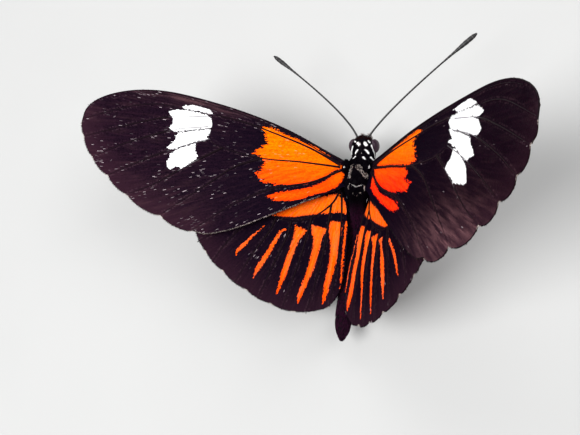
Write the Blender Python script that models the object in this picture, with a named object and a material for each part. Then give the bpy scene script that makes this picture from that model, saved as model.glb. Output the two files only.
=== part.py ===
"""Crimson-patched longwing, a still, life-size butterfly with its wings raised unevenly.

Every size is in millimetres, in the body's own axes: x to the right, y towards the head, z up,
with zero midway between the roots of the forewings. A wing is drawn flat, with u running out
from its root and v running forward, and is then bent, turned and carried to its root.
The finished pieces are in metres and stand on the floor, centred over the origin.
"""

import math

import bmesh
import bpy
from mathutils import Matrix, Vector
from mathutils.geometry import delaunay_2d_cdt

MM = 0.001
GAP = 0.3                 # clearance between neighbouring pieces
FLOOR = -9.0              # height of the floor below the forewing roots

# Wing build
WING_THICKNESS = 0.52
VEIN_HEIGHT = 0.16
VEIN_WIDTH_ROOT = 0.42    # half width of a vein's ridge at its root
VEIN_WIDTH_TIP = 0.24
MEMBRANE_STEP = 2.6       # spacing of the points between the veins
MARGIN_STEP = 1.1
VEIN_STEP = 2.0

# Forewing, drawn flat: the leading edge, the vein ends along the outer edge, the hind edge
FOREWING_ROOT_FRONT = (-1.5, 0.5)
FOREWING_ROOT_BACK = (-1.5, -2.3)
FOREWING_LEADING = [(2.0, 1.6), (8.5, 3.7), (14.6, 4.9), (20.6, 5.5), (26.5, 5.6), (31.0, 4.9),
                    (34.5, 3.6), (36.8, 2.1), (37.9, 0.6)]
FOREWING_ENDS = {"radius": (38.1, -1.0), "media_1": (37.35, -3.0), "media_2": (35.6, -5.45),
                 "media_3": (32.85, -7.5), "cubitus_1": (29.5, -9.6), "cubitus_2": (24.1, -11.6),
                 "anal": (19.2, -13.0)}
FOREWING_HIND = [(16.8, -13.0), (13.0, -11.5), (8.8, -9.0), (4.8, -6.5), (1.2, -4.2)]
FOREWING_SCALLOP = 0.5    # how far the edge bulges between two notches
FOREWING_VEINS = {
    "costa": [(0.5, 0.6), (8.5, 3.3), (14.6, 4.5), (20.6, 5.1), (26.5, 5.2), (31.0, 4.5), (34.3, 3.3)],
    "subcosta": [(0.4, 0.4), (5.2, 2.2), (9.8, 3.3), (13.5, 4.2)],
    "radius": [(0.3, 0.2), (5.1, 1.8), (11.3, 3.0), (15.8, 3.6), (24.7, 3.7), (30.4, 2.9), (37.9, -0.6)],
    "cell_hind": [(0.3, -0.1), (6.1, -0.6), (11.6, -1.2), (17.6, -0.8), (19.6, 0.2), (20.2, 1.9), (20.0, 3.6)],
    "media_1": [(20.0, 3.3), (25.5, 2.2), (30.5, 0.2), FOREWING_ENDS["media_1"]],
    "media_2": [(20.2, 1.8), (25.1, 0.3), (31.3, -2.8), FOREWING_ENDS["media_2"]],
    "media_3": [(19.6, 0.1), (24.8, -2.5), (30.2, -5.8), FOREWING_ENDS["media_3"]],
    "cubitus_1": [(17.5, -0.8), (21.6, -4.0), (25.9, -7.5), FOREWING_ENDS["cubitus_1"]],
    "cubitus_2": [(11.6, -1.2), (15.2, -3.2), (18.8, -6.6), FOREWING_ENDS["cubitus_2"]],
    "anal": [(0.1, -0.6), (4.1, -3.3), (9.6, -5.4), (14.8, -8.9), FOREWING_ENDS["anal"]],
}

# Hindwing, drawn flat
HINDWING_ROOT_FRONT = (-0.8, 0.7)
HINDWING_ROOT_BACK = (-0.8, -1.2)
HINDWING_LEADING = [(3.0, 1.3), (8.0, 1.2), (13.0, -0.4), (17.0, -3.2), (19.6, -6.2)]
HINDWING_ENDS = {"subcosta": (20.5, -8.3), "radius": (19.6, -10.4), "media_1": (17.2, -12.9),
                 "media_2": (13.6, -15.3), "media_3": (10.0, -17.3), "cubitus_1": (6.4, -18.4),
                 "cubitus_2": (2.8, -18.5), "anal": (-0.4, -17.2)}
HINDWING_INNER = [(-1.4, -15.3), (-1.8, -12.5), (-1.8, -9.5), (-1.5, -6.0), (-1.0, -3.0)]
HINDWING_NOTCHES = [(18.4, -11.7), (15.6, -14.1), (11.8, -16.4), (8.1, -17.9), (4.6, -18.6)]
HINDWING_SCALLOP = 0.55
HINDWING_VEINS = {
    "subcosta": [(0.5, 0.3), (6.0, 0.2), (12.0, -1.8), (17.0, -4.9), HINDWING_ENDS["subcosta"]],
    "radius": [(0.4, 0.0), (5.0, -1.2), (9.0, -3.0), (14.0, -6.3), HINDWING_ENDS["radius"]],
    "media_1": [(9.0, -3.0), (12.9, -6.6), (15.8, -10.3), HINDWING_ENDS["media_1"]],
    "cell_hind": [(0.2, -0.3), (1.3, -2.6), (3.9, -4.9), (6.8, -5.8), (9.0, -5.4), (9.0, -3.0)],
    "media_2": [(9.0, -5.4), (9.7, -7.6), (11.9, -11.6), HINDWING_ENDS["media_2"]],
    "media_3": [(6.8, -5.8), (7.1, -8.0), (8.4, -12.0), HINDWING_ENDS["media_3"]],
    "cubitus_1": [(3.9, -4.9), (4.3, -8.0), (5.0, -12.0), HINDWING_ENDS["cubitus_1"]],
    "cubitus_2": [(1.3, -2.6), (1.45, -8.0), (1.8, -12.0), HINDWING_ENDS["cubitus_2"]],
    "anal": [(0.0, -0.6), (-0.5, -5.0), (-0.65, -11.0), HINDWING_ENDS["anal"]],
}
HINDWING_COVERED = (-4.5, -0.28)   # v below which the veins rise, at u = 0, and its slope along u

# How each wing is held: sweep, raise and twist in degrees; in millimetres at the wing's reach, the
# bend along u, across and along v, the lift of the tip, and the arch of the flat shape, backwards
# on a forewing and inwards on a hindwing; and where the root sits on its own side of the body
FOREWING_REACH = 38.0
HINDWING_REACH = 20.0
WING_POSES = {
    "forewing_left": {"turn": (3.7, 29.1, -8.4), "bend": (-5.9, 13.6, -8.6), "tip": 3.4,
                      "arch": 0.35, "fold": 0.0, "root": (2.28, 0.0, 0.0)},
    "forewing_right": {"turn": (-2.4, 45.7, -7.9), "bend": (1.9, 3.6, -0.9), "tip": 2.6,
                       "arch": -1.6, "fold": 0.0, "root": (2.28, 0.0, 0.0)},
    "hindwing_left": {"turn": (-0.5, 25.6, 2.1), "bend": (0.0, 0.3, -2.0), "tip": 0.0,
                      "arch": 0.0, "fold": 0.0, "root": (2.32, -2.82, -1.38)},
    "hindwing_right": {"turn": (-2.3, 50.5, -8.1), "bend": (-0.3, -0.6, -2.0), "tip": 0.0,
                       "arch": -0.45, "fold": 0.02, "root": (1.7, -3.25, -2.76)},
}
FOLD_START = 2.0          # u inside which the right hindwing's inner edge curls up

# Body, as stations along its length: x, y, z of the centre, half width, half height
THORAX = [(0, 0.95, -1.45, 0.8, 0.8), (0, 0.55, -1.4, 1.4, 1.5), (0, -0.3, -1.4, 1.9, 2.1),
          (0, -1.5, -1.4, 2.12, 2.35), (0, -2.8, -1.45, 2.0, 2.3), (0, -3.8, -1.55, 1.65, 1.95),
          (0, -4.6, -1.75, 1.2, 1.4), (0, -5.0, -1.85, 0.7, 0.85)]
COLLAR = [(0, 0.6, -1.4, 1.2, 1.2), (0, 1.0, -1.45, 1.5, 1.5), (0, 1.5, -1.55, 1.45, 1.45),
          (0, 2.0, -1.6, 1.05, 1.05)]
HEAD = [(0, 1.85, -1.7, 0.6, 0.7), (0, 2.2, -1.7, 1.15, 1.25), (0, 2.9, -1.7, 1.45, 1.6),
        (0, 3.7, -1.65, 1.42, 1.6), (0, 4.5, -1.65, 1.22, 1.38), (0, 5.05, -1.65, 0.85, 0.95),
        (0, 5.3, -1.65, 0.45, 0.5)]
ABDOMEN = [(0, -4.0, -2.0, 0.55, 0.6), (0, -4.7, -2.3, 0.9, 0.95), (-0.1, -6.2, -3.2, 1.0, 1.0),
           (-0.35, -8.2, -4.3, 0.92, 0.95), (-0.75, -10.6, -5.0, 0.85, 0.88),
           (-1.05, -14.0, -5.3, 0.82, 0.85), (-1.15, -18.0, -5.25, 0.93, 0.95),
           (-0.9, -21.4, -5.1, 0.98, 1.0), (-0.75, -23.5, -4.95, 0.8, 0.85),
           (-0.65, -24.7, -4.85, 0.4, 0.45)]
EYE_CENTRE = (1.15, 3.35, -1.65)
EYE_RADII = (1.0, 1.25, 1.35)
TEGULA_CENTRE = (1.7, 0.35, 0.7)
TEGULA_RADII = (0.7, 1.1, 0.6)

# Feelers, palps and proboscis
ANTENNA_ROOT = (0.75, 4.75, -1.05)
ANTENNA_SWEEP = {"left": ((3.4, 7.3, 1.1), (11.1, 5.1, 1.2)),
                 "right": ((5.5, 8.1, 3.0), (9.3, 5.4, 1.5))}
ANTENNA_RADII = [(0.0, 0.42), (0.03, 0.27), (0.8, 0.26), (0.88, 0.3), (0.95, 0.46), (0.985, 0.4), (1.0, 0.2)]
ANTENNA_POINTS = 26
PALP_PATH = [(0.55, 3.7, -2.3), (0.6, 4.5, -3.35), (0.57, 5.3, -3.1), (0.52, 5.75, -2.3)]
PALP_RADII = [0.36, 0.45, 0.4, 0.2]
PALP_STEP = 0.5
COIL_CENTRE = (0.0, 4.15, -5.0)
COIL_RADII = (0.45, 1.35)
COIL_TURNS = 1.3
COIL_TUBE = 0.27
COIL_POINTS = 26
COIL_STEM_TOP = (0.0, 4.0, -2.7)

# Walking legs and the small folded forelegs: root, joints and toe on the right side
LEG_PATHS = {
    "foreleg": [(0.6, 0.2, -2.6), (0.75, 1.2, -3.9), (0.8, 1.9, -4.5), (0.7, 1.1, -5.2), (0.55, 0.3, -5.6)],
    "midleg": [(0.8, -0.9, -2.8), (1.45, -0.7, -4.6), (5.2, 0.9, -4.4), (8.2, 2.0, FLOOR + 0.5),
               (8.8, 2.3, FLOOR + 0.2), (11.4, 3.6, FLOOR + 0.2)],
    "hindleg": [(0.55, -2.6, -2.8), (0.95, -3.1, -4.7), (4.6, -6.6, -4.8), (6.6, -9.7, FLOOR + 0.5),
                (7.0, -10.3, FLOOR + 0.2), (8.3, -13.4, FLOOR + 0.2)],
}
LEG_RADII = {"foreleg": [0.45, 0.42, 0.33, 0.3, 0.22], "midleg": [0.55, 0.5, 0.34, 0.3, 0.3, 0.26],
             "hindleg": [0.55, 0.5, 0.34, 0.3, 0.3, 0.26]}
LEG_STEP = 1.1

FINISHES = {              # colour, roughness
    "wing_membrane": ((0.035, 0.012, 0.016), 0.75),
    "body_scales": ((0.012, 0.009, 0.011), 0.85),
    "eye": ((0.05, 0.012, 0.015), 0.15),
    "antenna": ((0.012, 0.011, 0.012), 0.5),
    "leg": ((0.03, 0.022, 0.018), 0.6),
}


# Small helpers

def clear_scene():
    for obj in list(bpy.data.objects):
        bpy.data.objects.remove(obj, do_unlink=True)


def new_collection(name):
    collection = bpy.data.collections.new(name)
    bpy.context.scene.collection.children.link(collection)
    return collection


def new_material(name):
    colour, roughness = FINISHES[name]
    material = bpy.data.materials.new(name)
    material.use_nodes = True
    shader = material.node_tree.nodes["Principled BSDF"]
    shader.inputs["Base Color"].default_value = (*colour, 1.0)
    shader.inputs["Roughness"].default_value = roughness
    shader.inputs["Metallic"].default_value = 0.0
    return material


def smooth(points, step):
    """Points about one step apart on a smooth curve through the given ones, ends included."""
    points = [Vector(p) for p in points]
    padded = [2 * points[0] - points[1], *points, 2 * points[-1] - points[-2]]
    curve = []
    for a, b, c, d in zip(padded, padded[1:], padded[2:], padded[3:]):
        count = max(1, round((c - b).length / step))
        for i in range(count):
            t = i / count
            curve.append(0.5 * (2 * b + (c - a) * t + (2 * a - 5 * b + 4 * c - d) * t ** 2
                                + (3 * b - a - 3 * c + d) * t ** 3))
    return [*curve, points[-1]]


def read_between(table, t):
    """The value at t of a table of (place, value) pairs, read in straight lines between them."""
    for (t0, value0), (t1, value1) in zip(table, table[1:]):
        if t <= t1:
            return value0 + (value1 - value0) * (t - t0) / (t1 - t0)
    return table[-1][1]


def mirrored(point, side):
    return Vector((point[0] * side, point[1], point[2]))


# Making and cutting solids

def mesh_from(name, points, faces):
    mesh = bpy.data.meshes.new(name)
    mesh.from_pydata(points, [], faces)
    work = bmesh.new()
    work.from_mesh(mesh)
    bmesh.ops.recalc_face_normals(work, faces=work.faces)
    work.to_mesh(mesh)
    work.free()
    return mesh


def keep_largest(mesh):
    """Leaves only the closed surface with the largest area."""
    work = bmesh.new()
    work.from_mesh(mesh)
    unseen = set(work.faces)
    shells = []
    while unseen:
        shell, front = [], [unseen.pop()]
        while front:
            face = front.pop()
            shell.append(face)
            near = {f for edge in face.edges for f in edge.link_faces} & unseen
            unseen -= near
            front.extend(near)
        shells.append(shell)
    shells.sort(key=lambda faces: sum(f.calc_area() for f in faces))
    for shell in shells[:-1]:
        bmesh.ops.delete(work, geom=shell, context="FACES")
    loose = [v for v in work.verts if not v.link_faces]
    bmesh.ops.delete(work, geom=loose, context="VERTS")
    work.to_mesh(mesh)
    work.free()


def add_object(name, mesh, collection):
    obj = bpy.data.objects.new(name, mesh)
    collection.objects.link(obj)
    return obj


def add_cutter(name, mesh, collection):
    cutter = add_object(name, mesh, collection)
    cutter.hide_render = True
    cutter.display_type = "WIRE"
    return cutter


def cut(obj, cutters, solver):
    """Takes the cutters out of obj, one after another, and keeps its largest piece."""
    for cutter in cutters:
        boolean = obj.modifiers.new(cutter.name, "BOOLEAN")
        boolean.operation = "DIFFERENCE"
        boolean.solver = solver
        boolean.object = cutter
    evaluated = obj.evaluated_get(bpy.context.evaluated_depsgraph_get())
    mesh = bpy.data.meshes.new_from_object(evaluated)
    obj.modifiers.clear()
    obj.data = mesh
    keep_largest(mesh)


def loft(name, stations, sides, step, grow=0.0):
    """A rounded body through stations of centre, half width and half height, grown if asked."""
    first, last = Vector(stations[0][:3]), Vector(stations[-1][:3])
    start = (first - Vector(stations[1][:3])).normalized() * grow
    finish = (last - Vector(stations[-2][:3])).normalized() * grow
    rows = smooth(stations, step)
    centres = [Vector(row[:3]) for row in rows]
    centres[0] += start
    centres[-1] += finish
    points, faces = [], []
    for i, (centre, row) in enumerate(zip(centres, rows)):
        ahead = centres[min(i + 1, len(centres) - 1)] - centres[max(i - 1, 0)]
        across = Vector((0, 0, 1)).cross(ahead).normalized()
        rise = ahead.cross(across).normalized()
        for k in range(sides):
            angle = 2 * math.pi * k / sides
            points.append(centre + across * (row[3] + grow) * math.cos(angle)
                          + rise * (row[4] + grow) * math.sin(angle))
    for i in range(len(rows) - 1):
        for k in range(sides):
            a, b = i * sides + k, i * sides + (k + 1) % sides
            faces.append((a, b, b + sides, a + sides))
    faces.append(tuple(range(sides)))
    faces.append(tuple(range(len(points) - sides, len(points))))
    return mesh_from(name, points, faces)


def ellipsoid(name, centre, radii, turn=None, segments=18, rings=12):
    work = bmesh.new()
    bmesh.ops.create_uvsphere(work, u_segments=segments, v_segments=rings, radius=1.0)
    shape = (turn or Matrix.Identity(4)) @ Matrix.Diagonal((*radii, 1.0))
    bmesh.ops.transform(work, matrix=Matrix.Translation(centre) @ shape, verts=work.verts)
    mesh = bpy.data.meshes.new(name)
    work.to_mesh(mesh)
    work.free()
    return mesh


def tube(name, points, radii, collection, bevel=2):
    """A closed round tube along the points, with its own radius at each."""
    curve = bpy.data.curves.new(name, "CURVE")
    curve.dimensions = "3D"
    curve.bevel_depth = 1.0
    curve.bevel_resolution = bevel
    curve.use_fill_caps = True
    spline = curve.splines.new("POLY")
    spline.points.add(len(points) - 1)
    for spot, point, radius in zip(spline.points, points, radii):
        spot.co = (*point, 1.0)
        spot.radius = radius
    holder = add_object(name + "_curve", curve, collection)
    evaluated = holder.evaluated_get(bpy.context.evaluated_depsgraph_get())
    mesh = bpy.data.meshes.new_from_object(evaluated)
    bpy.data.objects.remove(holder, do_unlink=True)
    work = bmesh.new()
    work.from_mesh(mesh)
    bmesh.ops.remove_doubles(work, verts=work.verts, dist=0.0005)
    bmesh.ops.recalc_face_normals(work, faces=work.faces)
    work.to_mesh(mesh)
    work.free()
    return mesh


# Wings

def scalloped(notches, depth):
    """The outer edge: a bulge of the given depth between each two notches."""
    edge = []
    for a, b in zip(notches, notches[1:]):
        a, b = Vector(a), Vector(b)
        along = b - a
        outward = Vector((-along.y, along.x)).normalized() * -1
        if outward.dot(Vector((1.0, -1.0))) < 0:
            outward = -outward
        count = max(3, round(along.length / MARGIN_STEP))
        for i in range(count):
            t = i / count
            edge.append(a + along * t + outward * depth * math.sin(math.pi * t) ** 0.7)
    return [*edge, Vector(notches[-1])]


def forewing_outline():
    leading = smooth([FOREWING_ROOT_FRONT, *FOREWING_LEADING, FOREWING_ENDS["radius"]], MARGIN_STEP * 1.6)
    outer = scalloped(list(FOREWING_ENDS.values()), FOREWING_SCALLOP)
    hind = smooth([FOREWING_ENDS["anal"], *FOREWING_HIND, FOREWING_ROOT_BACK], MARGIN_STEP * 1.8)
    return leading[:-1] + outer[:-1] + hind


def hindwing_outline():
    first, last = HINDWING_ENDS["subcosta"], HINDWING_ENDS["anal"]
    leading = smooth([HINDWING_ROOT_FRONT, *HINDWING_LEADING, first], MARGIN_STEP * 1.8)
    outer = scalloped([first, *HINDWING_NOTCHES, last], HINDWING_SCALLOP)
    inner = smooth([last, *HINDWING_INNER, HINDWING_ROOT_BACK], MARGIN_STEP * 1.6)
    return leading[:-1] + outer[:-1] + inner


def inside(point, outline):
    """Whether a flat point lies within the outline."""
    within = False
    for a, b in zip(outline, [*outline[1:], outline[0]]):
        if (a.y > point.y) != (b.y > point.y):
            if point.x < a.x + (point.y - a.y) / (b.y - a.y) * (b.x - a.x):
                within = not within
    return within


def vein_rows(veins):
    """For each vein its smoothed centre line, with the half width of its ridge at each point."""
    rows = []
    for path in veins.values():
        line = smooth(path, VEIN_STEP)
        widths = [VEIN_WIDTH_ROOT + (VEIN_WIDTH_TIP - VEIN_WIDTH_ROOT) * i / (len(line) - 1)
                  for i in range(len(line))]
        rows.append((line, widths))
    return rows


def ridge_height(point, rows):
    """How far a vein lifts the upper face at a flat point."""
    best = 0.0
    for line, widths in rows:
        for a, b, width in zip(line, line[1:], widths):
            along = b - a
            t = max(0.0, min(1.0, (point - a).dot(along) / along.length_squared))
            away = (a + along * t - point).length
            best = max(best, 1.0 - away / width)
    return VEIN_HEIGHT * best


def triangulated(outline, rows):
    """Splits the flat wing into triangles that follow its edge and both sides of each vein."""
    points = list(outline)
    edges = [(i, (i + 1) % len(points)) for i in range(len(points))]
    border = list(range(len(outline)))
    for line, widths in rows:
        stations = []
        for i, (centre, width) in enumerate(zip(line, widths)):
            along = line[min(i + 1, len(line) - 1)] - line[max(i - 1, 0)]
            across = Vector((-along.y, along.x)).normalized() * width
            trio = (centre, centre + across, centre - across)
            if all(inside(p, outline) for p in trio):
                stations.append(trio)
        for lane in range(3):
            first = len(points)
            points.extend(trio[lane] for trio in stations)
            edges.extend((first + i, first + i + 1) for i in range(len(stations) - 1))
    placed = list(points)
    clear = MEMBRANE_STEP * 0.55
    low_u, high_u = min(p.x for p in outline), max(p.x for p in outline)
    low_v, high_v = min(p.y for p in outline), max(p.y for p in outline)
    for i in range(int((high_u - low_u) / MEMBRANE_STEP) + 1):
        for j in range(int((high_v - low_v) / MEMBRANE_STEP) + 1):
            spot = Vector((low_u + (i + 0.5 * (j % 2)) * MEMBRANE_STEP, low_v + j * MEMBRANE_STEP))
            if inside(spot, outline) and all((spot - p).length > clear for p in placed):
                points.append(spot)
    flat, _, faces, *_ = delaunay_2d_cdt(points, edges, [border], 1, 1e-4)
    return flat, faces


def placing(name):
    """A function that carries (u, v, height) on a flat wing to its place on the body."""
    pose = WING_POSES[name]
    fore = name.startswith("forewing")
    reach = FOREWING_REACH if fore else HINDWING_REACH
    side = -1 if name.endswith("left") else 1
    sweep, rise, twist = (math.radians(angle) for angle in pose["turn"])
    turn = Matrix.Rotation(-rise, 3, "Y") @ Matrix.Rotation(twist, 3, "X") @ Matrix.Rotation(sweep, 3, "Z")
    along, across, chord = pose["bend"]
    root = Vector(pose["root"])

    def place(u, v, height):
        bend = (along * u * u + across * u * v + chord * v * v) / reach ** 2
        fade = max(0.0, min(1.0, (-v - 2.0) / 6.0))
        curl = pose["fold"] * max(0.0, FOLD_START - u) ** 2 * fade
        lift = bend + curl + pose["tip"] * (u / reach) ** 3
        if fore:
            v += pose["arch"] * (u / reach) ** 2
        else:
            u += pose["arch"] * (v / reach) ** 2
        return mirrored(turn @ Vector((u, v, lift + height)) + root, side)

    return place


def wing(name, grow=0.0):
    """One wing as a closed sheet with raised veins, its faces split alike above and below."""
    fore = name.startswith("forewing")
    outline = forewing_outline() if fore else hindwing_outline()
    rows = vein_rows(FOREWING_VEINS if fore else HINDWING_VEINS)
    flat, faces = triangulated(outline, rows)
    place = placing(name)
    half = WING_THICKNESS / 2 + grow
    upper, lower = [], []
    for point in flat:
        raised = ridge_height(point, rows)
        if not fore:
            start, slope = HINDWING_COVERED
            raised *= max(0.0, min(1.0, (start + slope * point.x - point.y) / 1.5))
        upper.append(place(point.x, point.y, half + raised))
        lower.append(place(point.x, point.y, -half))
    count = len(flat)
    sides = {}
    for face in faces:
        for a, b in zip(face, [*face[1:], face[0]]):
            sides[(a, b)] = True
    rim = [(a, b) for a, b in sides if (b, a) not in sides]
    skin = [tuple(face) for face in faces]
    skin += [tuple(i + count for i in reversed(face)) for face in faces]
    skin += [(b, a, a + count, b + count) for a, b in rim]
    return mesh_from(name, upper + lower, skin)


# Body, feelers and legs

def antenna(name, side, collection):
    first, second = (Vector(v) for v in ANTENNA_SWEEP[name.split("_")[1]])
    places = [i / (ANTENNA_POINTS - 1) for i in range(ANTENNA_POINTS)]
    places = sorted({*places, *(t for t, _ in ANTENNA_RADII)})
    points = [mirrored(Vector(ANTENNA_ROOT) + first * t + second * t * t, side) for t in places]
    return tube(name, points, [read_between(ANTENNA_RADII, t) for t in places], collection)


def jointed(name, path, radii, step, side, collection):
    """A tube with gently rounded joints through the path's points."""
    keys = [Vector((*point, radius)) for point, radius in zip(path, radii)]
    eased = [keys[0]]
    for a, b, c in zip(keys, keys[1:], keys[2:]):
        eased += [b + (a - b) * 0.12, b + (c - b) * 0.12]
    rows = [*eased, keys[-1]]
    points, widths = [], []
    for a, b in zip(rows, rows[1:]):
        count = max(1, round((Vector(b[:3]) - Vector(a[:3])).length / step))
        for i in range(count):
            spot = a.lerp(b, i / count)
            points.append(mirrored(spot, side))
            widths.append(spot[3])
    points.append(mirrored(rows[-1], side))
    widths.append(rows[-1][3])
    return tube(name, points, widths, collection)


def proboscis(collection):
    """The tongue: a stem from under the face that runs into a flat coil."""
    inner, outer = COIL_RADII
    points = [Vector(COIL_STEM_TOP)]
    for i in range(COIL_POINTS):
        t = i / (COIL_POINTS - 1)
        radius = outer + (inner - outer) * t
        angle = math.radians(80) - 2 * math.pi * COIL_TURNS * t
        points.append(Vector(COIL_CENTRE) + Vector((0, math.cos(angle), math.sin(angle))) * radius)
    return tube("proboscis", points, [COIL_TUBE] * len(points), collection)


def floor_block():
    work = bmesh.new()
    bmesh.ops.create_cube(work, size=1.0)
    depth = 4.0
    shape = Matrix.Translation((0, 0, FLOOR - depth / 2)) @ Matrix.Diagonal((60.0, 60.0, depth, 1.0))
    bmesh.ops.transform(work, matrix=shape, verts=work.verts)
    mesh = bpy.data.meshes.new("floor_block")
    work.to_mesh(mesh)
    work.free()
    return mesh


def build():
    clear_scene()
    nodes = new_collection("crimson_patched_longwing")
    cutters = new_collection("cutters")
    materials = {name: new_material(name) for name in FINISHES}
    finish_of = {}

    def node(name, mesh, finish, removed=(), solver="EXACT"):
        obj = add_object(name, mesh, nodes)
        if removed:
            cut(obj, removed, solver)
        obj.data.name = name
        obj.data.materials.clear()
        obj.data.materials.append(materials[finish])
        finish_of[name] = finish
        return obj

    grown = {}
    for name, stations, sides in (("thorax", THORAX, 24), ("collar", COLLAR, 24), ("head", HEAD, 24),
                                  ("abdomen", ABDOMEN, 20)):
        mesh = loft(name + "_clearance", stations, sides, 0.9, GAP)
        grown[name] = add_cutter(name + "_clearance", mesh, cutters)
    floor = add_cutter("floor_block", floor_block(), cutters)

    node("thorax", loft("thorax", THORAX, 24, 0.9), "body_scales")
    node("head", loft("head", HEAD, 24, 0.7), "body_scales")
    node("collar", loft("collar", COLLAR, 24, 0.5), "body_scales", [grown["thorax"], grown["head"]])
    node("abdomen", loft("abdomen", ABDOMEN, 20, 1.3), "body_scales", [grown["thorax"]])
    node("proboscis", proboscis(nodes), "antenna", [grown["head"]])

    for label, side in (("left", -1), ("right", 1)):
        for kind in ("forewing", "hindwing"):
            name = f"{kind}_{label}"
            removed = [grown["thorax"]] if kind == "forewing" else [grown["thorax"], grown["abdomen"]]
            node(name, wing(name), "wing_membrane", removed)
        spread = add_cutter(f"forewing_{label}_clearance", wing(f"forewing_{label}", GAP), cutters)
        tilt = Matrix.Rotation(math.radians(35 * side), 4, "Y")
        node(f"tegula_{label}", ellipsoid("tegula", mirrored(TEGULA_CENTRE, side), TEGULA_RADII, tilt),
             "body_scales", [grown["thorax"], spread, grown["collar"]])
        node(f"eye_{label}", ellipsoid("eye", mirrored(EYE_CENTRE, side), EYE_RADII), "eye",
             [grown["head"], grown["collar"]])
        name = f"antenna_{label}"
        node(name, antenna(name, side, nodes), "antenna", [grown["head"]])
        name = f"palp_{label}"
        palp = jointed(name, PALP_PATH, PALP_RADII, PALP_STEP, side, nodes)
        node(name, palp, "body_scales", [grown["head"]], "MANIFOLD")
        for kind, path in LEG_PATHS.items():
            name = f"{kind}_{label}"
            mesh = jointed(name, path, LEG_RADII[kind], LEG_STEP, side, nodes)
            node(name, mesh, "leg", [grown["thorax"], grown["collar"], floor])

    stand_on_origin(nodes)


def stand_on_origin(collection):
    """Scales every node to metres and centres the model over the origin, on the floor."""
    corners = [vertex.co for obj in collection.objects for vertex in obj.data.vertices]
    low = [min(corner[axis] for corner in corners) for axis in range(3)]
    high = [max(corner[axis] for corner in corners) for axis in range(3)]
    shift = Vector((-(low[0] + high[0]) / 2, -(low[1] + high[1]) / 2, -low[2]))
    print("wing roots stand at", [round(value, 3) for value in shift])
    empty = bpy.data.objects.new("butterfly", None)
    collection.objects.link(empty)
    for obj in collection.objects:
        if obj.type == "MESH":
            obj.data.transform(Matrix.Scale(MM, 4) @ Matrix.Translation(shift))
            obj.data.shade_smooth()
            obj.data.set_sharp_from_angle(angle=math.radians(40))
            obj.parent = empty


build()
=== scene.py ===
# The looks of a crimson-patched longwing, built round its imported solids.
# Lengths are millimetres in the body's own axes, x to the right, y towards the head and z up,
# with zero midway between the roots of the forewings, until toRow carries them to the frame.
import math
import bmesh
import bpy
import numpy as np
from mathutils import Matrix, Vector
from mathutils.geometry import delaunay_2d_cdt


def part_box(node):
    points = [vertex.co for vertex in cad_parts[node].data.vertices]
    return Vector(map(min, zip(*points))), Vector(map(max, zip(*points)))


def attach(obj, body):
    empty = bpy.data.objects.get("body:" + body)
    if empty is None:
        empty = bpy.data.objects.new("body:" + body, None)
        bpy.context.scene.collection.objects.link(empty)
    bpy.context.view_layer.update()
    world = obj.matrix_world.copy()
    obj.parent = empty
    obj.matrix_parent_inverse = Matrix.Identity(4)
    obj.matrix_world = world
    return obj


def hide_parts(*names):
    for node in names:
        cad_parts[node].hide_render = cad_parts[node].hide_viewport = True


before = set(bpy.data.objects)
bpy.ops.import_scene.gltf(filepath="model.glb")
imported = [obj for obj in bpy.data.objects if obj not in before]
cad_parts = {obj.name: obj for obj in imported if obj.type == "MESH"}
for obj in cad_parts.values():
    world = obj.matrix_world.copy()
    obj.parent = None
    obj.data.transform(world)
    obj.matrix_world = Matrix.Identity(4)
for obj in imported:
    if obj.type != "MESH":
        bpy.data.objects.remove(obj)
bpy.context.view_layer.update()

mm = 0.001
bodyPlace = {"thoraxFront": 0.95, "rootsAboveFloor": 9.0}
thoraxLow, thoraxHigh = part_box("thorax")
bodyOrigin = np.array([(thoraxLow.x + thoraxHigh.x) / 2,
                       thoraxHigh.y - bodyPlace["thoraxFront"] * mm,
                       bodyPlace["rootsAboveFloor"] * mm])
scene = bpy.context.scene
pieceList = []
bothSides = (("left", -1), ("right", 1))


def toRow(points):
    return np.asarray(points, float).reshape(-1, 3) * mm + bodyOrigin


def table(labels, rows):   # a dictionary of settings for each row
    return {name: dict(zip(labels.split(), row)) for name, row in rows.items()}


# Lines and fields on flat shapes

def smoothLine(points, step):
    points = np.asarray(points, float)
    padded = np.vstack([2 * points[0] - points[1], points, 2 * points[-1] - points[-2]])
    parts = []
    for a, b, c, d in zip(padded, padded[1:], padded[2:], padded[3:]):
        count = max(1, round(float(np.linalg.norm((c - b)[:3])) / step))
        t = np.arange(count)[:, None] / count
        parts.append(0.5 * (2 * b + (c - a) * t + (2 * a - 5 * b + 4 * c - d) * t ** 2
                            + (3 * b - a - 3 * c + d) * t ** 3))
    return np.vstack([*parts, points[-1:]])


def lengths(vectors):
    return np.linalg.norm(vectors, axis=1)


def columns(*parts):
    return np.stack(parts, axis=1)


def squareTo(vectors, axes):   # what is left of vectors across these axes
    return unit(vectors - axes * np.sum(vectors * axes, axis=1, keepdims=True))


def unit(vectors):
    return vectors / np.maximum(np.linalg.norm(vectors, axis=-1, keepdims=True), 1e-12)


def travelled(line):   # how far along the line each of its points is
    return np.concatenate([[0], np.cumsum(lengths(np.diff(line, axis=0)))])


def readAlong(at, far, line):
    return columns(*[np.interp(at, far, line[:, k]) for k in range(line.shape[1])])


def isInside(points, outline):
    within = np.zeros(len(points), bool)
    for a, b in zip(outline, np.roll(outline, -1, axis=0)):
        crosses = (a[1] > points[:, 1]) != (b[1] > points[:, 1])
        slope = (b[0] - a[0]) / (b[1] - a[1]) if b[1] != a[1] else 0.0
        within ^= crosses & (points[:, 0] < a[0] + (points[:, 1] - a[1]) * slope)
    return within


def lineDistance(points, line, closed=False):
    best = np.full(len(points), 1e9)
    ends = np.roll(line, -1, axis=0) if closed else line[1:]
    for a, b in zip(line, ends):
        along = b - a
        t = np.clip((points - a) @ along / max(along @ along, 1e-12), 0, 1)
        best = np.minimum(best, lengths(a + t[:, None] * along - points))
    return best


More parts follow.
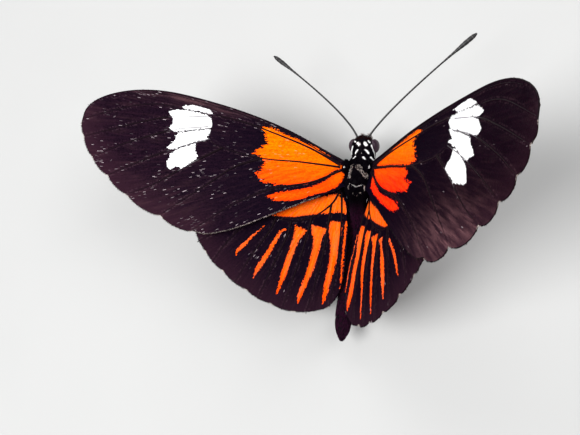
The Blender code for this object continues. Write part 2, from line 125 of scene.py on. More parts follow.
def patchField(points, outlines):   # millimetres inside the nearest outline's edge, negative outside
    best = np.full(len(points), -9.0)
    for outline in outlines:
        outline = np.asarray(outline, float)
        sign = np.where(isInside(points, outline), 1.0, -1.0)
        best = np.maximum(best, sign * lineDistance(points, outline, True))
    return best


def strokeField(points, strokes):   # the same for strokes given as (u, v, half width)
    best = np.full(len(points), -9.0)
    for stroke in strokes:
        line = smoothLine(stroke, 0.8)
        started = (points - line[0, :2]) @ unit((line[1] - line[0])[:2])   # its first end is cut square
        for a, b in zip(line, line[1:]):
            along = (b - a)[:2]
            t = np.clip((points - a[:2]) @ along / max(along @ along, 1e-12), 0, 1)
            away = lengths(a[:2] + t[:, None] * along - points)
            best = np.maximum(best, np.minimum(a[2] + (b[2] - a[2]) * t - away, started))
    return best


# Wings: u runs out from the root and v forward, then each is bent, turned and carried to its root

wingBuild = {"thickness": 0.14, "step": 0.34, "marginStep": 0.32, "pleat": 0.13, "pleatReach": 1.3,
             "mostBulge": 0.9}

forewing = {   # the veins end at the notches
    "reach": 38.0, "fan": (-7.0, 3.5), "rootFront": (-1.5, 0.5), "rootBack": (-1.5, -2.3),
    "leading": [(2.0, 1.6), (8.5, 3.7), (14.6, 4.9), (20.6, 5.5), (26.5, 5.6), (31.0, 4.9),
                (34.5, 3.6), (36.8, 2.1), (37.9, 0.6)],
    "notches": [(38.1, -1.0), (37.35, -3.0), (35.6, -5.45), (32.85, -7.5), (29.5, -9.6), (24.1, -11.6),
                (19.2, -13.0)],
    "hind": [(16.8, -13.0), (13.0, -11.5), (8.8, -9.0), (4.8, -6.5), (1.2, -4.2)],
    "veins": [
        [(0.5, 0.6), (8.5, 3.3), (14.6, 4.5), (20.6, 5.1), (26.5, 5.2), (31.0, 4.5), (34.3, 3.3)],
        [(0.4, 0.4), (5.2, 2.2), (9.8, 3.3), (13.5, 4.2)],
        [(0.3, 0.2), (5.1, 1.8), (11.3, 3.0), (15.8, 3.6), (24.7, 3.7), (30.4, 2.9), (37.9, -0.6)],
        [(0.3, -0.1), (6.1, -0.6), (11.6, -1.2), (17.6, -0.8), (19.6, 0.2), (20.2, 1.9), (20.0, 3.6)],
        [(20.0, 3.3), (25.5, 2.2), (30.5, 0.2), (37.15, -2.9)],
        [(20.2, 1.8), (25.1, 0.3), (31.3, -2.8), (35.4, -5.35)],
        [(19.6, 0.1), (24.8, -2.5), (30.2, -5.8), (32.7, -7.4)],
        [(17.5, -0.8), (21.6, -4.0), (25.9, -7.5), (29.35, -9.45)],
        [(11.6, -1.2), (15.2, -3.2), (18.8, -6.6), (24.0, -11.4)],
        [(0.1, -0.6), (4.1, -3.3), (9.6, -5.4), (14.8, -8.9), (19.1, -12.85)],
    ],
}
hindwing = {   # the veins end midway between the notches
    "reach": 20.0, "fan": (0.0, 4.0), "rootFront": (-0.8, 0.7), "rootBack": (-0.8, -1.2),
    "leading": [(3.0, 1.3), (8.0, 1.2), (13.0, -0.4), (17.0, -3.2), (19.6, -6.2)],
    "notches": [(20.5, -8.3), (18.4, -11.7), (15.6, -14.1), (11.8, -16.4), (8.1, -17.9), (4.6, -18.6),
                (-0.4, -17.2)],
    "hind": [(-1.4, -15.3), (-1.8, -12.5), (-1.8, -9.5), (-1.5, -6.0), (-1.0, -3.0)],
    "veins": [
        [(0.5, 0.3), (6.0, 0.2), (12.0, -1.8), (17.0, -4.9), (20.5, -8.3)],
        [(0.4, 0.0), (5.0, -1.2), (9.0, -3.0), (14.0, -6.3), (19.85, -10.6)],
        [(9.0, -3.0), (12.9, -6.6), (15.8, -10.3), (17.35, -13.2)],
        [(0.2, -0.3), (1.3, -2.6), (3.9, -4.9), (6.8, -5.8), (9.0, -5.4), (9.0, -3.0)],
        [(9.0, -5.4), (9.7, -7.6), (11.9, -11.6), (13.7, -15.6)],
        [(6.8, -5.8), (7.1, -8.0), (8.4, -12.0), (10.1, -17.6)],
        [(3.9, -4.9), (4.3, -8.0), (5.0, -12.0), (6.45, -18.7)],
        [(1.3, -2.6), (1.45, -8.0), (1.8, -12.0), (2.85, -18.8)],
        [(0.0, -0.6), (-0.5, -5.0), (-0.65, -11.0), (-0.4, -17.2)],
    ],
}
wingMarkings = {   # outlines of the patches, and the rays as strokes of u, v and half width
    "forewing_left": {
        "white": [
            [(24.5, 3.8), (24.3, 4.1), (23.0, 4.5), (21.3, 4.4), (20.5, 4.3), (19.9, 3.9), (20.0, 3.7), (21.8, 3.7),
             (24.2, 3.6)],
            [(26.1, 2.9), (25.7, 3.1), (25.0, 3.4), (23.0, 3.6), (20.8, 3.5), (20.0, 3.0), (19.7, 2.3), (19.7, 1.8),
             (20.6, 1.4), (23.2, 0.6), (24.7, 0.1), (25.2, 0.3), (25.6, 0.5), (25.4, 1.1), (25.0, 1.3), (25.4, 1.5),
             (25.4, 2.0), (25.9, 2.4), (26.3, 2.6)],
            [(24.2, 0.1), (23.2, 0.5), (20.5, 1.3), (19.9, 1.6), (19.7, 1.3), (19.8, 0.7), (20.0, 0.3), (19.8, 0.1),
             (20.2, -0.3), (21.4, -0.7), (23.5, -1.9), (24.5, -2.5), (25.3, -2.4), (25.0, -1.8), (24.3, -0.9),
             (24.5, -0.6)],
            [(24.4, -2.8), (23.3, -1.9), (21.4, -0.9), (21.3, -1.6), (20.7, -2.7), (20.9, -3.2), (21.4, -3.8),
             (22.3, -4.6), (22.8, -4.9), (22.9, -4.6), (23.5, -4.7), (24.1, -5.2), (24.5, -5.2), (24.9, -4.4),
             (24.6, -3.5), (24.7, -3.0)],
        ],
        "orange": [
            [(0.0, 0.3), (0.8, 0.6), (2.5, 1.5), (4.4, 2.2), (6.8, 2.8), (9.1, 3.2), (11.4, 3.6), (12.5, 3.4),
             (12.2, 2.9), (11.6, 1.8), (11.4, 1.2), (12.2, 0.3), (12.9, -0.7), (11.3, -1.3), (11.1, -2.1),
             (11.5, -2.9), (12.1, -3.7), (10.7, -4.5), (9.0, -4.7), (6.9, -4.3), (4.8, -3.8), (3.1, -2.9),
             (2.2, -2.2), (0.9, -0.7), (0.0, -0.3)],
            [(9.0, -5.9), (7.4, -5.2), (5.4, -4.5), (3.8, -3.8), (2.1, -2.6), (1.1, -1.5), (0.3, -0.7), (-0.3, -0.7),
             (-0.7, -1.3), (-0.4, -2.2), (0.3, -3.3), (1.8, -4.3), (3.8, -5.3), (5.1, -6.1), (6.4, -6.5),
             (8.5, -6.9), (9.6, -6.5)],
        ],
        "rays": [],
    },
    "forewing_right": {
        "white": [
            [(19.0, 4.6), (21.1, 5.0), (22.8, 5.0), (23.7, 4.6), (24.8, 4.0), (23.0, 3.9), (20.3, 4.0)],
            [(24.2, 3.8), (24.9, 3.7), (25.6, 3.4), (26.5, 2.7), (25.8, 2.2), (24.4, 2.5), (20.4, 3.6), (20.0, 4.0),
             (23.1, 3.8)],
            [(19.0, 3.9), (20.0, 3.8), (24.4, 2.5), (25.6, 2.0), (26.2, 1.3), (26.6, 0.6), (26.0, 0.1), (24.3, 0.5),
             (19.7, 2.1), (18.8, 2.6), (18.5, 3.2)],
            [(18.6, 2.4), (20.8, 1.6), (23.9, 0.5), (24.6, 0.1), (24.7, -0.6), (25.3, -1.2), (26.0, -2.1),
             (25.2, -2.2), (24.9, -2.6), (23.8, -2.1), (21.4, -0.5), (19.3, 0.6), (20.2, 0.9), (19.6, 1.5)],
            [(21.0, -0.4), (20.9, -1.2), (20.3, -2.0), (20.1, -2.8), (20.6, -3.3), (21.4, -3.8), (22.7, -4.7),
             (23.3, -4.9), (24.8, -5.1), (25.4, -4.9), (25.1, -4.2), (24.7, -3.0), (23.6, -2.0), (22.4, -1.2)],
        ],
        "orange": [
            [(1.3, 0.1), (1.7, 0.7), (2.3, 0.8), (4.2, 1.8), (6.1, 2.5), (8.6, 3.4), (10.8, 3.7), (11.9, 3.4),
             (11.0, 3.0), (10.6, 2.6), (10.2, 1.7), (11.1, 1.3), (11.2, 0.5), (12.3, -0.4), (12.0, -0.7),
             (10.4, -1.0), (8.8, -0.8), (5.9, -0.4)],
            [(0.7, -0.2), (1.7, -0.3), (5.3, -0.6), (10.0, -1.2), (10.5, -2.0), (10.3, -2.5), (11.1, -3.1),
             (12.1, -3.6), (11.4, -4.5), (8.3, -4.5), (6.9, -4.3), (5.3, -3.8), (3.9, -3.3), (2.4, -2.2),
             (1.4, -1.2)],
            [(0.9, -1.0), (0.8, -2.0), (0.9, -3.0), (2.1, -4.0), (5.0, -5.6), (8.1, -6.9), (9.7, -7.1), (10.4, -6.6),
             (9.6, -5.9), (8.1, -5.3), (4.6, -4.2), (3.4, -3.4), (2.0, -2.3)],
        ],
        "rays": [],
    },
    "hindwing_left": {
        "white": [],
        "orange": [
            [(9.9, -5.4), (7.9, -4.2), (5.9, -3.0), (3.1, -1.7), (0.5, -0.8), (-0.1, -0.7), (-0.9, -2.4),
             (-1.5, -3.9), (-0.9, -3.7), (0.3, -3.6), (1.3, -3.9), (4.9, -4.7), (6.3, -5.1), (8.1, -5.3)],
        ],
        "rays": [
            [(-1.25, -4.5, 0.19), (-1.3, -8.9, 0.19), (-1.5, -12.6, 0.18), (-1.5, -14.7, 0.09)],
            [(0.3, -4.9, 0.89), (0.2, -6.6, 0.93), (0.1, -7.9, 0.7), (0.0, -10.8, 0.56), (0.3, -13.5, 0.49),
             (0.5, -15.9, 0.36), (0.6, -17.0, 0.09)],
            [(2.6, -6.0, 1.22), (2.7, -6.9, 0.95), (2.6, -7.6, 0.7), (2.6, -8.7, 0.57), (3.1, -12.4, 0.5),
             (4.0, -16.0, 0.38), (4.2, -17.5, 0.09)],
            [(5.2, -6.5, 1.03), (5.4, -7.2, 0.78), (5.7, -8.1, 0.51), (6.3, -10.9, 0.46), (6.9, -13.9, 0.39),
             (7.6, -16.8, 0.06)],
            [(7.3, -6.9, 0.13), (8.1, -7.5, 0.23), (8.6, -8.7, 0.32), (9.9, -11.6, 0.37), (10.7, -13.3, 0.36),
             (11.2, -14.8, 0.05)],
            [(10.4, -6.9, 0.09), (12.0, -8.6, 0.19), (13.2, -10.2, 0.31), (13.9, -11.0, 0.27), (14.2, -12.1, 0.05)],
        ],
    },
    "hindwing_right": {
        "white": [],
        "orange": [
            [(-0.7, -0.2), (1.6, -1.6), (4.3, -2.6), (6.7, -3.9), (9.1, -5.4), (8.1, -5.5), (6.6, -5.2), (4.7, -4.7),
             (2.6, -4.0), (0.6, -3.5), (0.0, -3.3), (-0.4, -2.3)],
        ],
        "rays": [
            [(-0.8, -6.1, 0.17), (-0.8, -8.9, 0.18), (-1.3, -10.2, 0.18), (-1.3, -13.5, 0.18), (-1.4, -14.4, 0.15)],
            [(0.5, -4.8, 0.82), (0.4, -5.8, 0.93), (0.7, -8.8, 0.8), (0.5, -10.8, 0.67), (0.4, -14.2, 0.6),
             (0.1, -15.9, 0.51), (0.0, -16.9, 0.16)],
            [(2.9, -5.6, 0.92), (2.8, -6.6, 0.96), (2.9, -7.9, 0.66), (3.1, -11.0, 0.55), (4.3, -14.7, 0.32),
             (4.7, -16.4, 0.29), (5.1, -17.8, 0.14)],
            [(5.2, -6.4, 0.98), (5.5, -7.4, 0.62), (5.8, -8.6, 0.48), (6.5, -11.6, 0.34), (7.5, -14.8, 0.33),
             (8.2, -16.8, 0.16)],
            [(7.4, -6.9, 0.57), (7.7, -7.6, 0.24), (8.5, -8.9, 0.31), (9.4, -10.5, 0.57), (10.7, -13.2, 0.42),
             (11.4, -14.9, 0.15)],
            [(10.0, -7.2, 0.18), (12.5, -9.4, 0.31), (14.0, -11.3, 0.26), (14.7, -12.0, 0.1)],
        ],
    },
}
wingPoses = table("turn bend tip arch fold root bulge", {
    "forewing_left": ((3.7, 29.1, -8.4), (-5.9, 13.6, -8.6), 3.4, 0.35, 0.0, (2.28, 0.0, 0.0), 0.09),
    "forewing_right": ((-2.4, 45.7, -7.9), (1.9, 3.6, -0.9), 2.6, -1.6, 0.0, (2.28, 0.0, 0.0), 0.2),
    "hindwing_left": ((-0.5, 25.6, 2.1), (0.0, 0.3, -2.0), 0.0, 0.0, 0.0, (2.32, -2.82, -1.38), 0.075),
    "hindwing_right": ((-2.3, 50.5, -8.1), (-0.3, -0.6, -2.0), 0.0, -0.45, 0.02, (1.7, -3.25, -2.76), 0.15),
})
foldStart = 2.0


def wingShape(name):
    return forewing if name.startswith("forewing") else hindwing


def onWing(name, flat, height):
    pose, reach = wingPoses[name], wingShape(name)["reach"]
    sweep, rise, twist = (math.radians(angle) for angle in pose["turn"])
    turn = Matrix.Rotation(-rise, 3, "Y") @ Matrix.Rotation(twist, 3, "X") @ Matrix.Rotation(sweep, 3, "Z")
    along, across, chord = pose["bend"]
    u, v = flat[:, 0], flat[:, 1]
    lift = (along * u * u + across * u * v + chord * v * v) / reach ** 2 + pose["tip"] * (u / reach) ** 3
    lift = lift + pose["fold"] * np.maximum(0, foldStart - u) ** 2 * np.clip((-v - 2) / 6, 0, 1)
    if name.startswith("forewing"):
        v = v + pose["arch"] * (u / reach) ** 2
    else:
        u = u + pose["arch"] * (v / reach) ** 2
    local = columns(u, v, lift + height)
    placed = local @ np.array(turn).T + np.array(pose["root"])
    if name.endswith("left"):
        placed[:, 0] *= -1
    return placed


def outerEdge(name, step):   # a bulge between each two notches, a share of the way between them
    parts = []
    notches = np.asarray(wingShape(name)["notches"], float)
    for a, b in zip(notches, notches[1:]):
        along = b - a
        outward = unit(np.array([along[1], -along[0]]))
        if outward @ np.array([1.0, -1.0]) < 0:
            outward = -outward
        long = np.linalg.norm(along)
        count = max(3, round(long / step))
        t = np.arange(count) / count
        bulge = min(wingPoses[name]["bulge"] * long, wingBuild["mostBulge"]) * np.sin(math.pi * t) ** 0.7
        parts.append(a + along * t[:, None] + outward * bulge[:, None])
    return np.vstack([*parts, notches[-1:]])


def wingOutline(name, step):
    shape = wingShape(name)
    leading = smoothLine([shape["rootFront"], *shape["leading"], shape["notches"][0]], step)
    hind = smoothLine([shape["notches"][-1], *shape["hind"], shape["rootBack"]], step)
    return np.vstack([leading[:-1], outerEdge(name, step)[:-1], hind])


def veinLines(shape, step):
    lines = [smoothLine(vein, step) for vein in shape["veins"]]
    leading = smoothLine([shape["rootFront"], *shape["leading"], shape["notches"][0]], step)
    return [*lines, leading]


def veinDistance(shape, flat):
    return np.min([lineDistance(flat, line) for line in veinLines(shape, 1.6)], axis=0)


def pleats(shape, flat):   # the membrane sinks a little between its veins
    away = np.clip(veinDistance(shape, flat) / wingBuild["pleatReach"], 0, 1)
    return -wingBuild["pleat"] * away * away * (3 - 2 * away)


# painted sheen: spots where brown sheen is painted into the dark field, on the hind part and along the leading edge
sheenSpots = {"gloss": (23.0, -10.0, 8.0, 4.0), "front": (20.0, 5.6, 9.0, 1.3)}   # u, v and width each way
fieldBuild = {"edgeStep": 0.8, "frayFrom": 7.5, "frayOver": 3.0, "rootReach": 19.0, "rootShare": 0.9,
              "shadeFrom": -10.5, "shadeOver": 4.0, "turnLength": 24.0}


def markings(name, flat):   # the fields that every place on a wing is coloured by
    shape, look, marks, build = wingShape(name), wingLook[name], wingMarkings[name], fieldBuild
    spread = flat - np.asarray(shape["fan"])
    u, v, ones = flat[:, 0], flat[:, 1], np.ones(len(flat))
    frayed = np.clip((u - build["frayFrom"]) / build["frayOver"], 0, 1) if shape is forewing else ones
    sheen = [look[key] * np.exp(-((u - a) / wide) ** 2 - ((v - b) / high) ** 2)
             for key, (a, b, wide, high) in sheenSpots.items()]
    return {
        "orange": np.maximum(patchField(flat, marks["orange"]), strokeField(flat, marks["rays"])),
        "white": patchField(flat, marks["white"]),
        "margin": lineDistance(flat, outerEdge(name, build["edgeStep"])),
        "vein": np.minimum(veinDistance(shape, flat), 1.0),
        "nearRoot": np.exp(-(lengths(flat) / build["rootReach"]) ** 2) * build["rootShare"],
        # painted sheen from the two spots
        "gloss": sheen[0] + sheen[1],
        # painted shade over all but the hind part of the wing, most on the right forewing
        "shade": look["shade"] * np.clip((v - build["shadeFrom"]) / build["shadeOver"], 0, 1),
        "hue": np.clip(look["hue"] - look["redder"] * v, 0, look["reddest"]),
        # painted highlight: how strongly pale streaks are painted over the orange on this wing
        "bloom": look["bloom"] * ones,
        "comb": look["comb"] * frayed,
        "flow": columns(lengths(spread),
                          np.arctan2(spread[:, 1], spread[:, 0]) * build["turnLength"], u),
    }


# Meshes and their attributes

def setAttributes(mesh, values):
    for name, data in values.items():
        data = np.asarray(data, float)
        kind, key = ("FLOAT_VECTOR", "vector") if data.ndim == 2 else ("FLOAT", "value")
        mesh.attributes.new(name, kind, "POINT").data.foreach_set(key, data.ravel())


def faceOutwards(mesh):
    work = bmesh.new()
    work.from_mesh(mesh)
    bmesh.ops.recalc_face_normals(work, faces=work.faces)
    work.to_mesh(mesh)
    work.free()


def meshFrom(points, faces, values, smoothAngle):
    mesh = bpy.data.meshes.new("piece")
    mesh.from_pydata(toRow(points).tolist(), [], faces)
    setAttributes(mesh, values)
    faceOutwards(mesh)
    mesh.shade_smooth()
    mesh.set_sharp_from_angle(angle=math.radians(smoothAngle))
    return mesh


def addObject(name, data):
    made = bpy.data.objects.new(name, data)
    scene.collection.objects.link(made)
    return made


def addPiece(name, mesh, finish, replaced=()):
    piece = addObject(name, mesh)
    mesh.name = name
    mesh.materials.clear()
    mesh.materials.append(finishes[finish])
    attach(piece, "root")
    if replaced:
        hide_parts(*replaced)
    pieceList.append(piece)


def bakePlace(u, v):   # the roots' places on the coat's unwrap
    return columns(u, v, np.zeros(len(u)))


def hairRoots(place, face, lie, size, tone, shade, rootPlace):
    return {"place": place, "face": squareTo(face, lie), "lie": lie, "size": columns(*size), "tone": tone,
            "shade": shade, "rootPlace": rootPlace}


# Node helpers

def addNode(tree, kind, values=None, **settings):
    made = tree.nodes.new(kind)
    for key, value in settings.items():
        setattr(made, key, value)
    for label, value in (values or {}).items():
        value = value.socket if isinstance(value, wire) else value
        if isinstance(value, bpy.types.NodeSocket):
            tree.links.new(value, made.inputs[label])
        else:
            made.inputs[label].default_value = value
    return made


class wire:   # a node's output, whose sums, products and mixes are new nodes in its own tree
    def __init__(self, tree, socket):
        self.tree, self.socket = tree, socket

    def maths(self, operation, a, b=0.0):
        return wire(self.tree, addNode(self.tree, "ShaderNodeMath", {0: a, 1: b}, operation=operation).outputs[0])

    def __add__(self, other):
        return self.maths("ADD", self, other)

    def __mul__(self, other):
        return self.maths("MULTIPLY", self, other)

    def __sub__(self, other):
        return self.maths("SUBTRACT", self, other)

    def __rsub__(self, other):
        return self.maths("SUBTRACT", other, self)

    def __abs__(self):
        return self.maths("ABSOLUTE", self)

    def step(self, low, high):   # 0 below low, 1 above high, smooth between
        made = addNode(self.tree, "ShaderNodeMapRange", {"Value": self, "From Min": low, "From Max": high},
                       interpolation_type="SMOOTHSTEP")
        return wire(self.tree, made.outputs["Result"])

    def mix(self, a, b):   # a where this is 0 and b where it is 1
        a, b = ((*colour, 1) if isinstance(colour, tuple) else colour for colour in (a, b))
        return wire(self.tree, addNode(self.tree, "ShaderNodeMix", {0: self, 6: a, 7: b}, data_type="RGBA").outputs[2])


def readField(tree, name, output="Fac"):
    return wire(tree, addNode(tree, "ShaderNodeAttribute", attribute_name=name).outputs[output])


def noise(tree, vector, scale, detail=2.0):
    made = addNode(tree, "ShaderNodeTexNoise", {"Vector": vector, "Scale": scale, "Detail": detail})
    return wire(tree, made.outputs["Fac"])


def streaks(tree, vector, stretch, detail):
    made = addNode(tree, "ShaderNodeVectorMath", {0: vector, 1: stretch}, operation="MULTIPLY")
    return noise(tree, made.outputs[0], 1.0, detail)


def bumped(tree, height, strength, distance):
    made = addNode(tree, "ShaderNodeBump", {"Height": height, "Strength": strength, "Distance": distance})
    return wire(tree, made.outputs["Normal"])


def objectPlace(tree):
    return addNode(tree, "ShaderNodeTexCoord").outputs["Object"]


def newGroup(name, inputs, outputs):   # inputs with their defaults, where a tuple makes a vector
    tree = bpy.data.node_groups.new(name, "ShaderNodeTree")
    for label, value in inputs.items():
        kind = "NodeSocketVector" if isinstance(value, tuple) else "NodeSocketFloat"
        tree.interface.new_socket(label, in_out="INPUT", socket_type=kind).default_value = value
    for label, kind in outputs.items():
        tree.interface.new_socket(label, in_out="OUTPUT", socket_type=kind)
    entry, leave = tree.nodes.new("NodeGroupInput").outputs, tree.nodes.new("NodeGroupOutput").inputs
    return tree, [wire(tree, entry[label]) for label in inputs], leave


def useGroup(tree, group, values):
    return [wire(tree, socket) for socket in addNode(tree, "ShaderNodeGroup", values, node_tree=group).outputs]


def newMaterial(name, sockets):   # sockets: constants on the shader itself
    material = bpy.data.materials.new(name)
    material.use_nodes = True
    for label, value in sockets.items():
        material.node_tree.nodes["Principled BSDF"].inputs[label].default_value = value
    return material, material.node_tree


def painted(material, colour, roughness=None, normal=None):
    tree = material.node_tree
    for label, value in (("Base Color", colour), ("Roughness", roughness), ("Normal", normal)):
        if value is not None:
            tree.links.new(value.socket, tree.nodes["Principled BSDF"].inputs[label])
    return material


# Shared effects

# painted light among these colours: sheen is painted sheen, shade is painted shade, the pale colours beside the veins
# and over the orange are painted highlight, and fleck and orangeFleck are the painted glint on loose scales
wingColours = {
    "darkLow": (0.0050, 0.0018, 0.0052), "darkHigh": (0.0140, 0.0052, 0.0125), "plum": (0.030, 0.010, 0.020),
    "rim": (0.040, 0.014, 0.024), "sheen": (0.17, 0.078, 0.088), "shade": (0.0040, 0.0005, 0.0026),
    "nearRoot": (0.0028, 0.0016, 0.0060), "veinHighlight": (0.13, 0.075, 0.090), "fleck": (0.60, 0.50, 0.54),
    "deepYellow": (1.0, 0.120, 0.0), "deepRed": (0.85, 0.014, 0.002), "lightYellow": (1.0, 0.235, 0.0),
    "lightRed": (1.0, 0.055, 0.003), "grain": (0.75, 0.03, 0.002), "bloom": (1.0, 0.50, 0.28),
    "orangeFleck": (1.0, 0.75, 0.45), "whiteLow": (0.84, 0.84, 0.86), "whiteHigh": (0.95, 0.95, 0.95),
    "underDark": (0.030, 0.015, 0.013), "underOrange": (0.36, 0.10, 0.055), "underWhite": (0.62, 0.52, 0.48),
    "underTone": (0.08, 0.045, 0.04),
}
flowGrain = {"Streak": ((0.22, 2.2, 0.0), 2.0), "Barb": ((0.3, 6.5, 0.0), 1.0), "Tone": ((4.0, 9.0, 0.0), 1.0)}


def wingMarkGroup():   # from millimetres inside each mark to a colour, the upper side or the dull under side
    tree, given, out = newGroup("wingMarks", {
        "Orange": -9.0, "White": -9.0, "Margin": 9.0, "Near Root": 0.0, "Shade": 0.0, "Gloss": 0.0, "Fleck": 0.0,
        "Tone": 0.5, "Streak": 0.5, "Barb": 0.5, "Vein": 1.0, "Bloom": 0.0, "Hue": 0.5, "Under": 0.0,
        "Softness": 0.03, "Ragged": 0.1, "Feather": 0.9},
        {"Color": "NodeSocketColor", "Roughness": "NodeSocketFloat"})
    (orange, white, margin, nearRoot, shade, gloss, fleck, tone, streak, barb, vein, bloom, hue, under, softness,
     ragged, feather) = given
    jitter, soft = (tone - 0.5) * ragged, softness * -1.0
    within = orange + jitter + (barb - 0.5) * feather
    isOrange, isWhite = within.step(soft, softness), (white + jitter).step(soft, softness)
    paint = wingColours
    dark = tone.mix(paint["darkLow"], paint["darkHigh"])
    dark = (barb.step(0.45, 0.7) * 0.35).mix(dark, paint["plum"])
    rim = 1.0 - margin.step(0.0, 4.5)
    dark = (rim * 0.5).mix(dark, paint["rim"])
    # painted sheen: brown streaks painted into the dark field, strongest in the painted sheen spots
    sheen = streak.step(0.5, 0.75) * 0.12 + gloss * (streak.step(0.38, 0.62) * 0.9 + 0.25)
    dark = (sheen * barb).mix(dark, paint["sheen"])
    # painted shade: the dark field is made darker and redder by the shade field; near the root it turns bluish black
    dark = nearRoot.mix(shade.mix(dark, paint["shade"]), paint["nearRoot"])
    # painted highlight: a pale line painted along each side of the veins in the dark field
    veinHighlight = (1.0 - abs(vein - 0.24).step(0.03, 0.12)) * tone.step(0.35, 0.9)
    dark = (veinHighlight * 0.16).mix(dark, paint["veinHighlight"])
    # painted glints: the pale colour of the loose scales on the dark field
    dark = fleck.mix(dark, paint["fleck"])
    deep = hue.mix(paint["deepYellow"], paint["deepRed"])
    light = hue.mix(paint["lightYellow"], paint["lightRed"])
    bright = (within.step(0.0, 0.55) * barb.step(0.3, 0.7)).mix(deep, light)
    bright = (tone * 0.15).mix(bright, paint["grain"])
    # painted highlight: pale streaks painted over the orange
    bright = (streak.step(0.4, 0.7) * bloom).mix(bright, paint["bloom"])
    # painted glints on loose scales over the orange
    bright = (fleck * 0.6).mix(bright, paint["orangeFleck"])
    pale = tone.mix(paint["whiteLow"], paint["whiteHigh"])
    upper = isWhite.mix(isOrange.mix(dark, bright), pale)
    dull = isOrange.mix(paint["underDark"], paint["underOrange"])
    dull = (tone * 0.3).mix(isWhite.mix(dull, paint["underWhite"]), paint["underTone"])
    tree.links.new(under.mix(upper, dull).socket, out["Color"])
    tree.links.new((tone * 0.3 + 0.5).socket, out["Roughness"])
    return tree


def grainGroup():
    tree, (place, scale, depth), out = newGroup("fineGrain", {
        "Place": (0, 0, 0), "Scale": 900.0, "Depth": 0.3},
        {"Value": "NodeSocketFloat", "Normal": "NodeSocketVector"})
    grain = noise(tree, place, scale, 4.0)
    tree.links.new(grain.socket, out["Value"])
    tree.links.new(bumped(tree, grain, depth, 0.0001).socket, out["Normal"])
    return tree


wingMarks, fineGrain = wingMarkGroup(), grainGroup()


# Materials

def wingMaterial(name, specular, softness, ragged):
    material, tree = newMaterial(name, {"Specular IOR Level": specular})
    flow = readField(tree, "flow", "Vector")
    fields = {"Orange": "orange", "White": "white", "Margin": "margin", "Near Root": "nearRoot", "Gloss": "gloss",
              "Hue": "hue", "Under": "under", "Feather": "comb", "Vein": "vein", "Bloom": "bloom", "Shade": "shade"}
    values = {label: readField(tree, field) for label, field in fields.items()}
    values.update({label: streaks(tree, flow, *flowGrain[label]) for label in ("Streak", "Barb")})
    values.update({"Softness": softness, "Ragged": ragged})
    if name == "wing scales":
        values.update({"Tone": readField(tree, "tone"), "Fleck": readField(tree, "fleck")})
        return painted(material, *useGroup(tree, wingMarks, values))
    values["Tone"] = streaks(tree, flow, *flowGrain["Tone"])
    normal = bumped(tree, values["Tone"], 0.4, 0.00008)
    return painted(material, *useGroup(tree, wingMarks, values), normal)


def coatMaterial():   # hair and small scales: tone 0 is black, 1 is white
    material, tree = newMaterial("body hair", {"Specular IOR Level": 0.01})
    tone, shade = readField(tree, "tone"), readField(tree, "shade")
    dark = shade.mix((0.0004, 0.0003, 0.0011), (0.0030, 0.0016, 0.0036))
    dark = readField(tree, "plum").mix(dark, (0.024, 0.0045, 0.016))
    grey = shade.mix((0.20, 0.16, 0.15), (0.55, 0.47, 0.42))
    white = shade.mix((0.78, 0.78, 0.78), (0.93, 0.93, 0.92))
    shown = tone.step(0.55, 0.9).mix(tone.step(0.1, 0.45).mix(dark, grey), white)
    shown = readField(tree, "rust").step(0.0, 1.0).mix(shown, (0.85, 0.16, 0.03))
    return painted(material, shown, shade * 0.25 + 0.42)


def grainMaterial(name, specular, coat, low, high, grain, rough, layers=()):
    sockets = {"Specular IOR Level": specular}
    if coat:
        sockets["Coat Weight"], sockets["Coat Roughness"] = coat
    material, tree = newMaterial(name, sockets)
    value, normal = useGroup(tree, fineGrain, {"Place": objectPlace(tree), "Scale": grain[0], "Depth": grain[1]})
    colour = value.mix(low, high)
    for field, start, stop, share, over in layers:
        colour = (readField(tree, field).step(start, stop) * share).mix(colour, over)
    if name == "eye facets":
        # painted sheen: the facets are painted lighter where they turn away from the view
        facing = wire(tree, addNode(tree, "ShaderNodeLayerWeight", {"Blend": 0.4}).outputs["Facing"])
        return painted(material, (facing * 0.5).mix(colour, (0.09, 0.045, 0.058)), value * rough[0] + rough[1])
    return painted(material, colour, value * rough[0] + rough[1], normal)


finishes = {   # the grained ones: specular, coat weight and roughness, two colours, the grain's scale and depth,
               # how far roughness varies and from where, and layers over a field from start to stop
    "membrane": wingMaterial("wing membrane", 0.01, 0.06, 0.2),
    "scales": wingMaterial("wing scales", 0.005, 0.01, 0.1),
    "hair": coatMaterial(),
    "veins": grainMaterial("wing veins", 0.04, None, (0.002, 0.001, 0.002), (0.012, 0.005, 0.008), (4000.0, 0.4),
                           (0.3, 0.35), [("white", -0.5, 0.1, 0.6, (0.30, 0.28, 0.30))]),
    "skin": grainMaterial("body skin", 0.03, None, (0.0004, 0.0003, 0.0011), (0.0028, 0.0015, 0.0034),
                          (1800.0, 0.5), (0.3, 0.35), [("tone", 0.1, 0.45, 1.0, (0.24, 0.21, 0.20)),
                                                       ("tone", 0.55, 0.9, 1.0, (0.86, 0.86, 0.86))]),
    "eye": grainMaterial("eye facets", 0.3, (0.12, 0.3), (0.010, 0.004, 0.010), (0.036, 0.017, 0.030),
                         (700.0, 0.05), (0.1, 0.14)),
    # painted highlight: pale grey painted into the grooves between the antenna's rings
    "antenna": grainMaterial("antenna", 0.3, (0.1, 0.3), (0.004, 0.004, 0.005), (0.014, 0.012, 0.013),
                             (3000.0, 0.3), (0.25, 0.28), [("ring", 0.55, 0.95, 0.22, (0.30, 0.28, 0.27))]),
    "leg": grainMaterial("legs", 0.45, None, (0.008, 0.006, 0.006), (0.045, 0.032, 0.028), (1500.0, 0.4),
                         (0.3, 0.3)),
    "tongue": grainMaterial("proboscis", 0.5, (0.3, 0.2), (0.020, 0.009, 0.004), (0.085, 0.040, 0.015),
                            (1500.0, 0.4), (0.3, 0.3)),
}
print("materials made")


# Geometry Nodes: shapes on roots, and tubes along lines

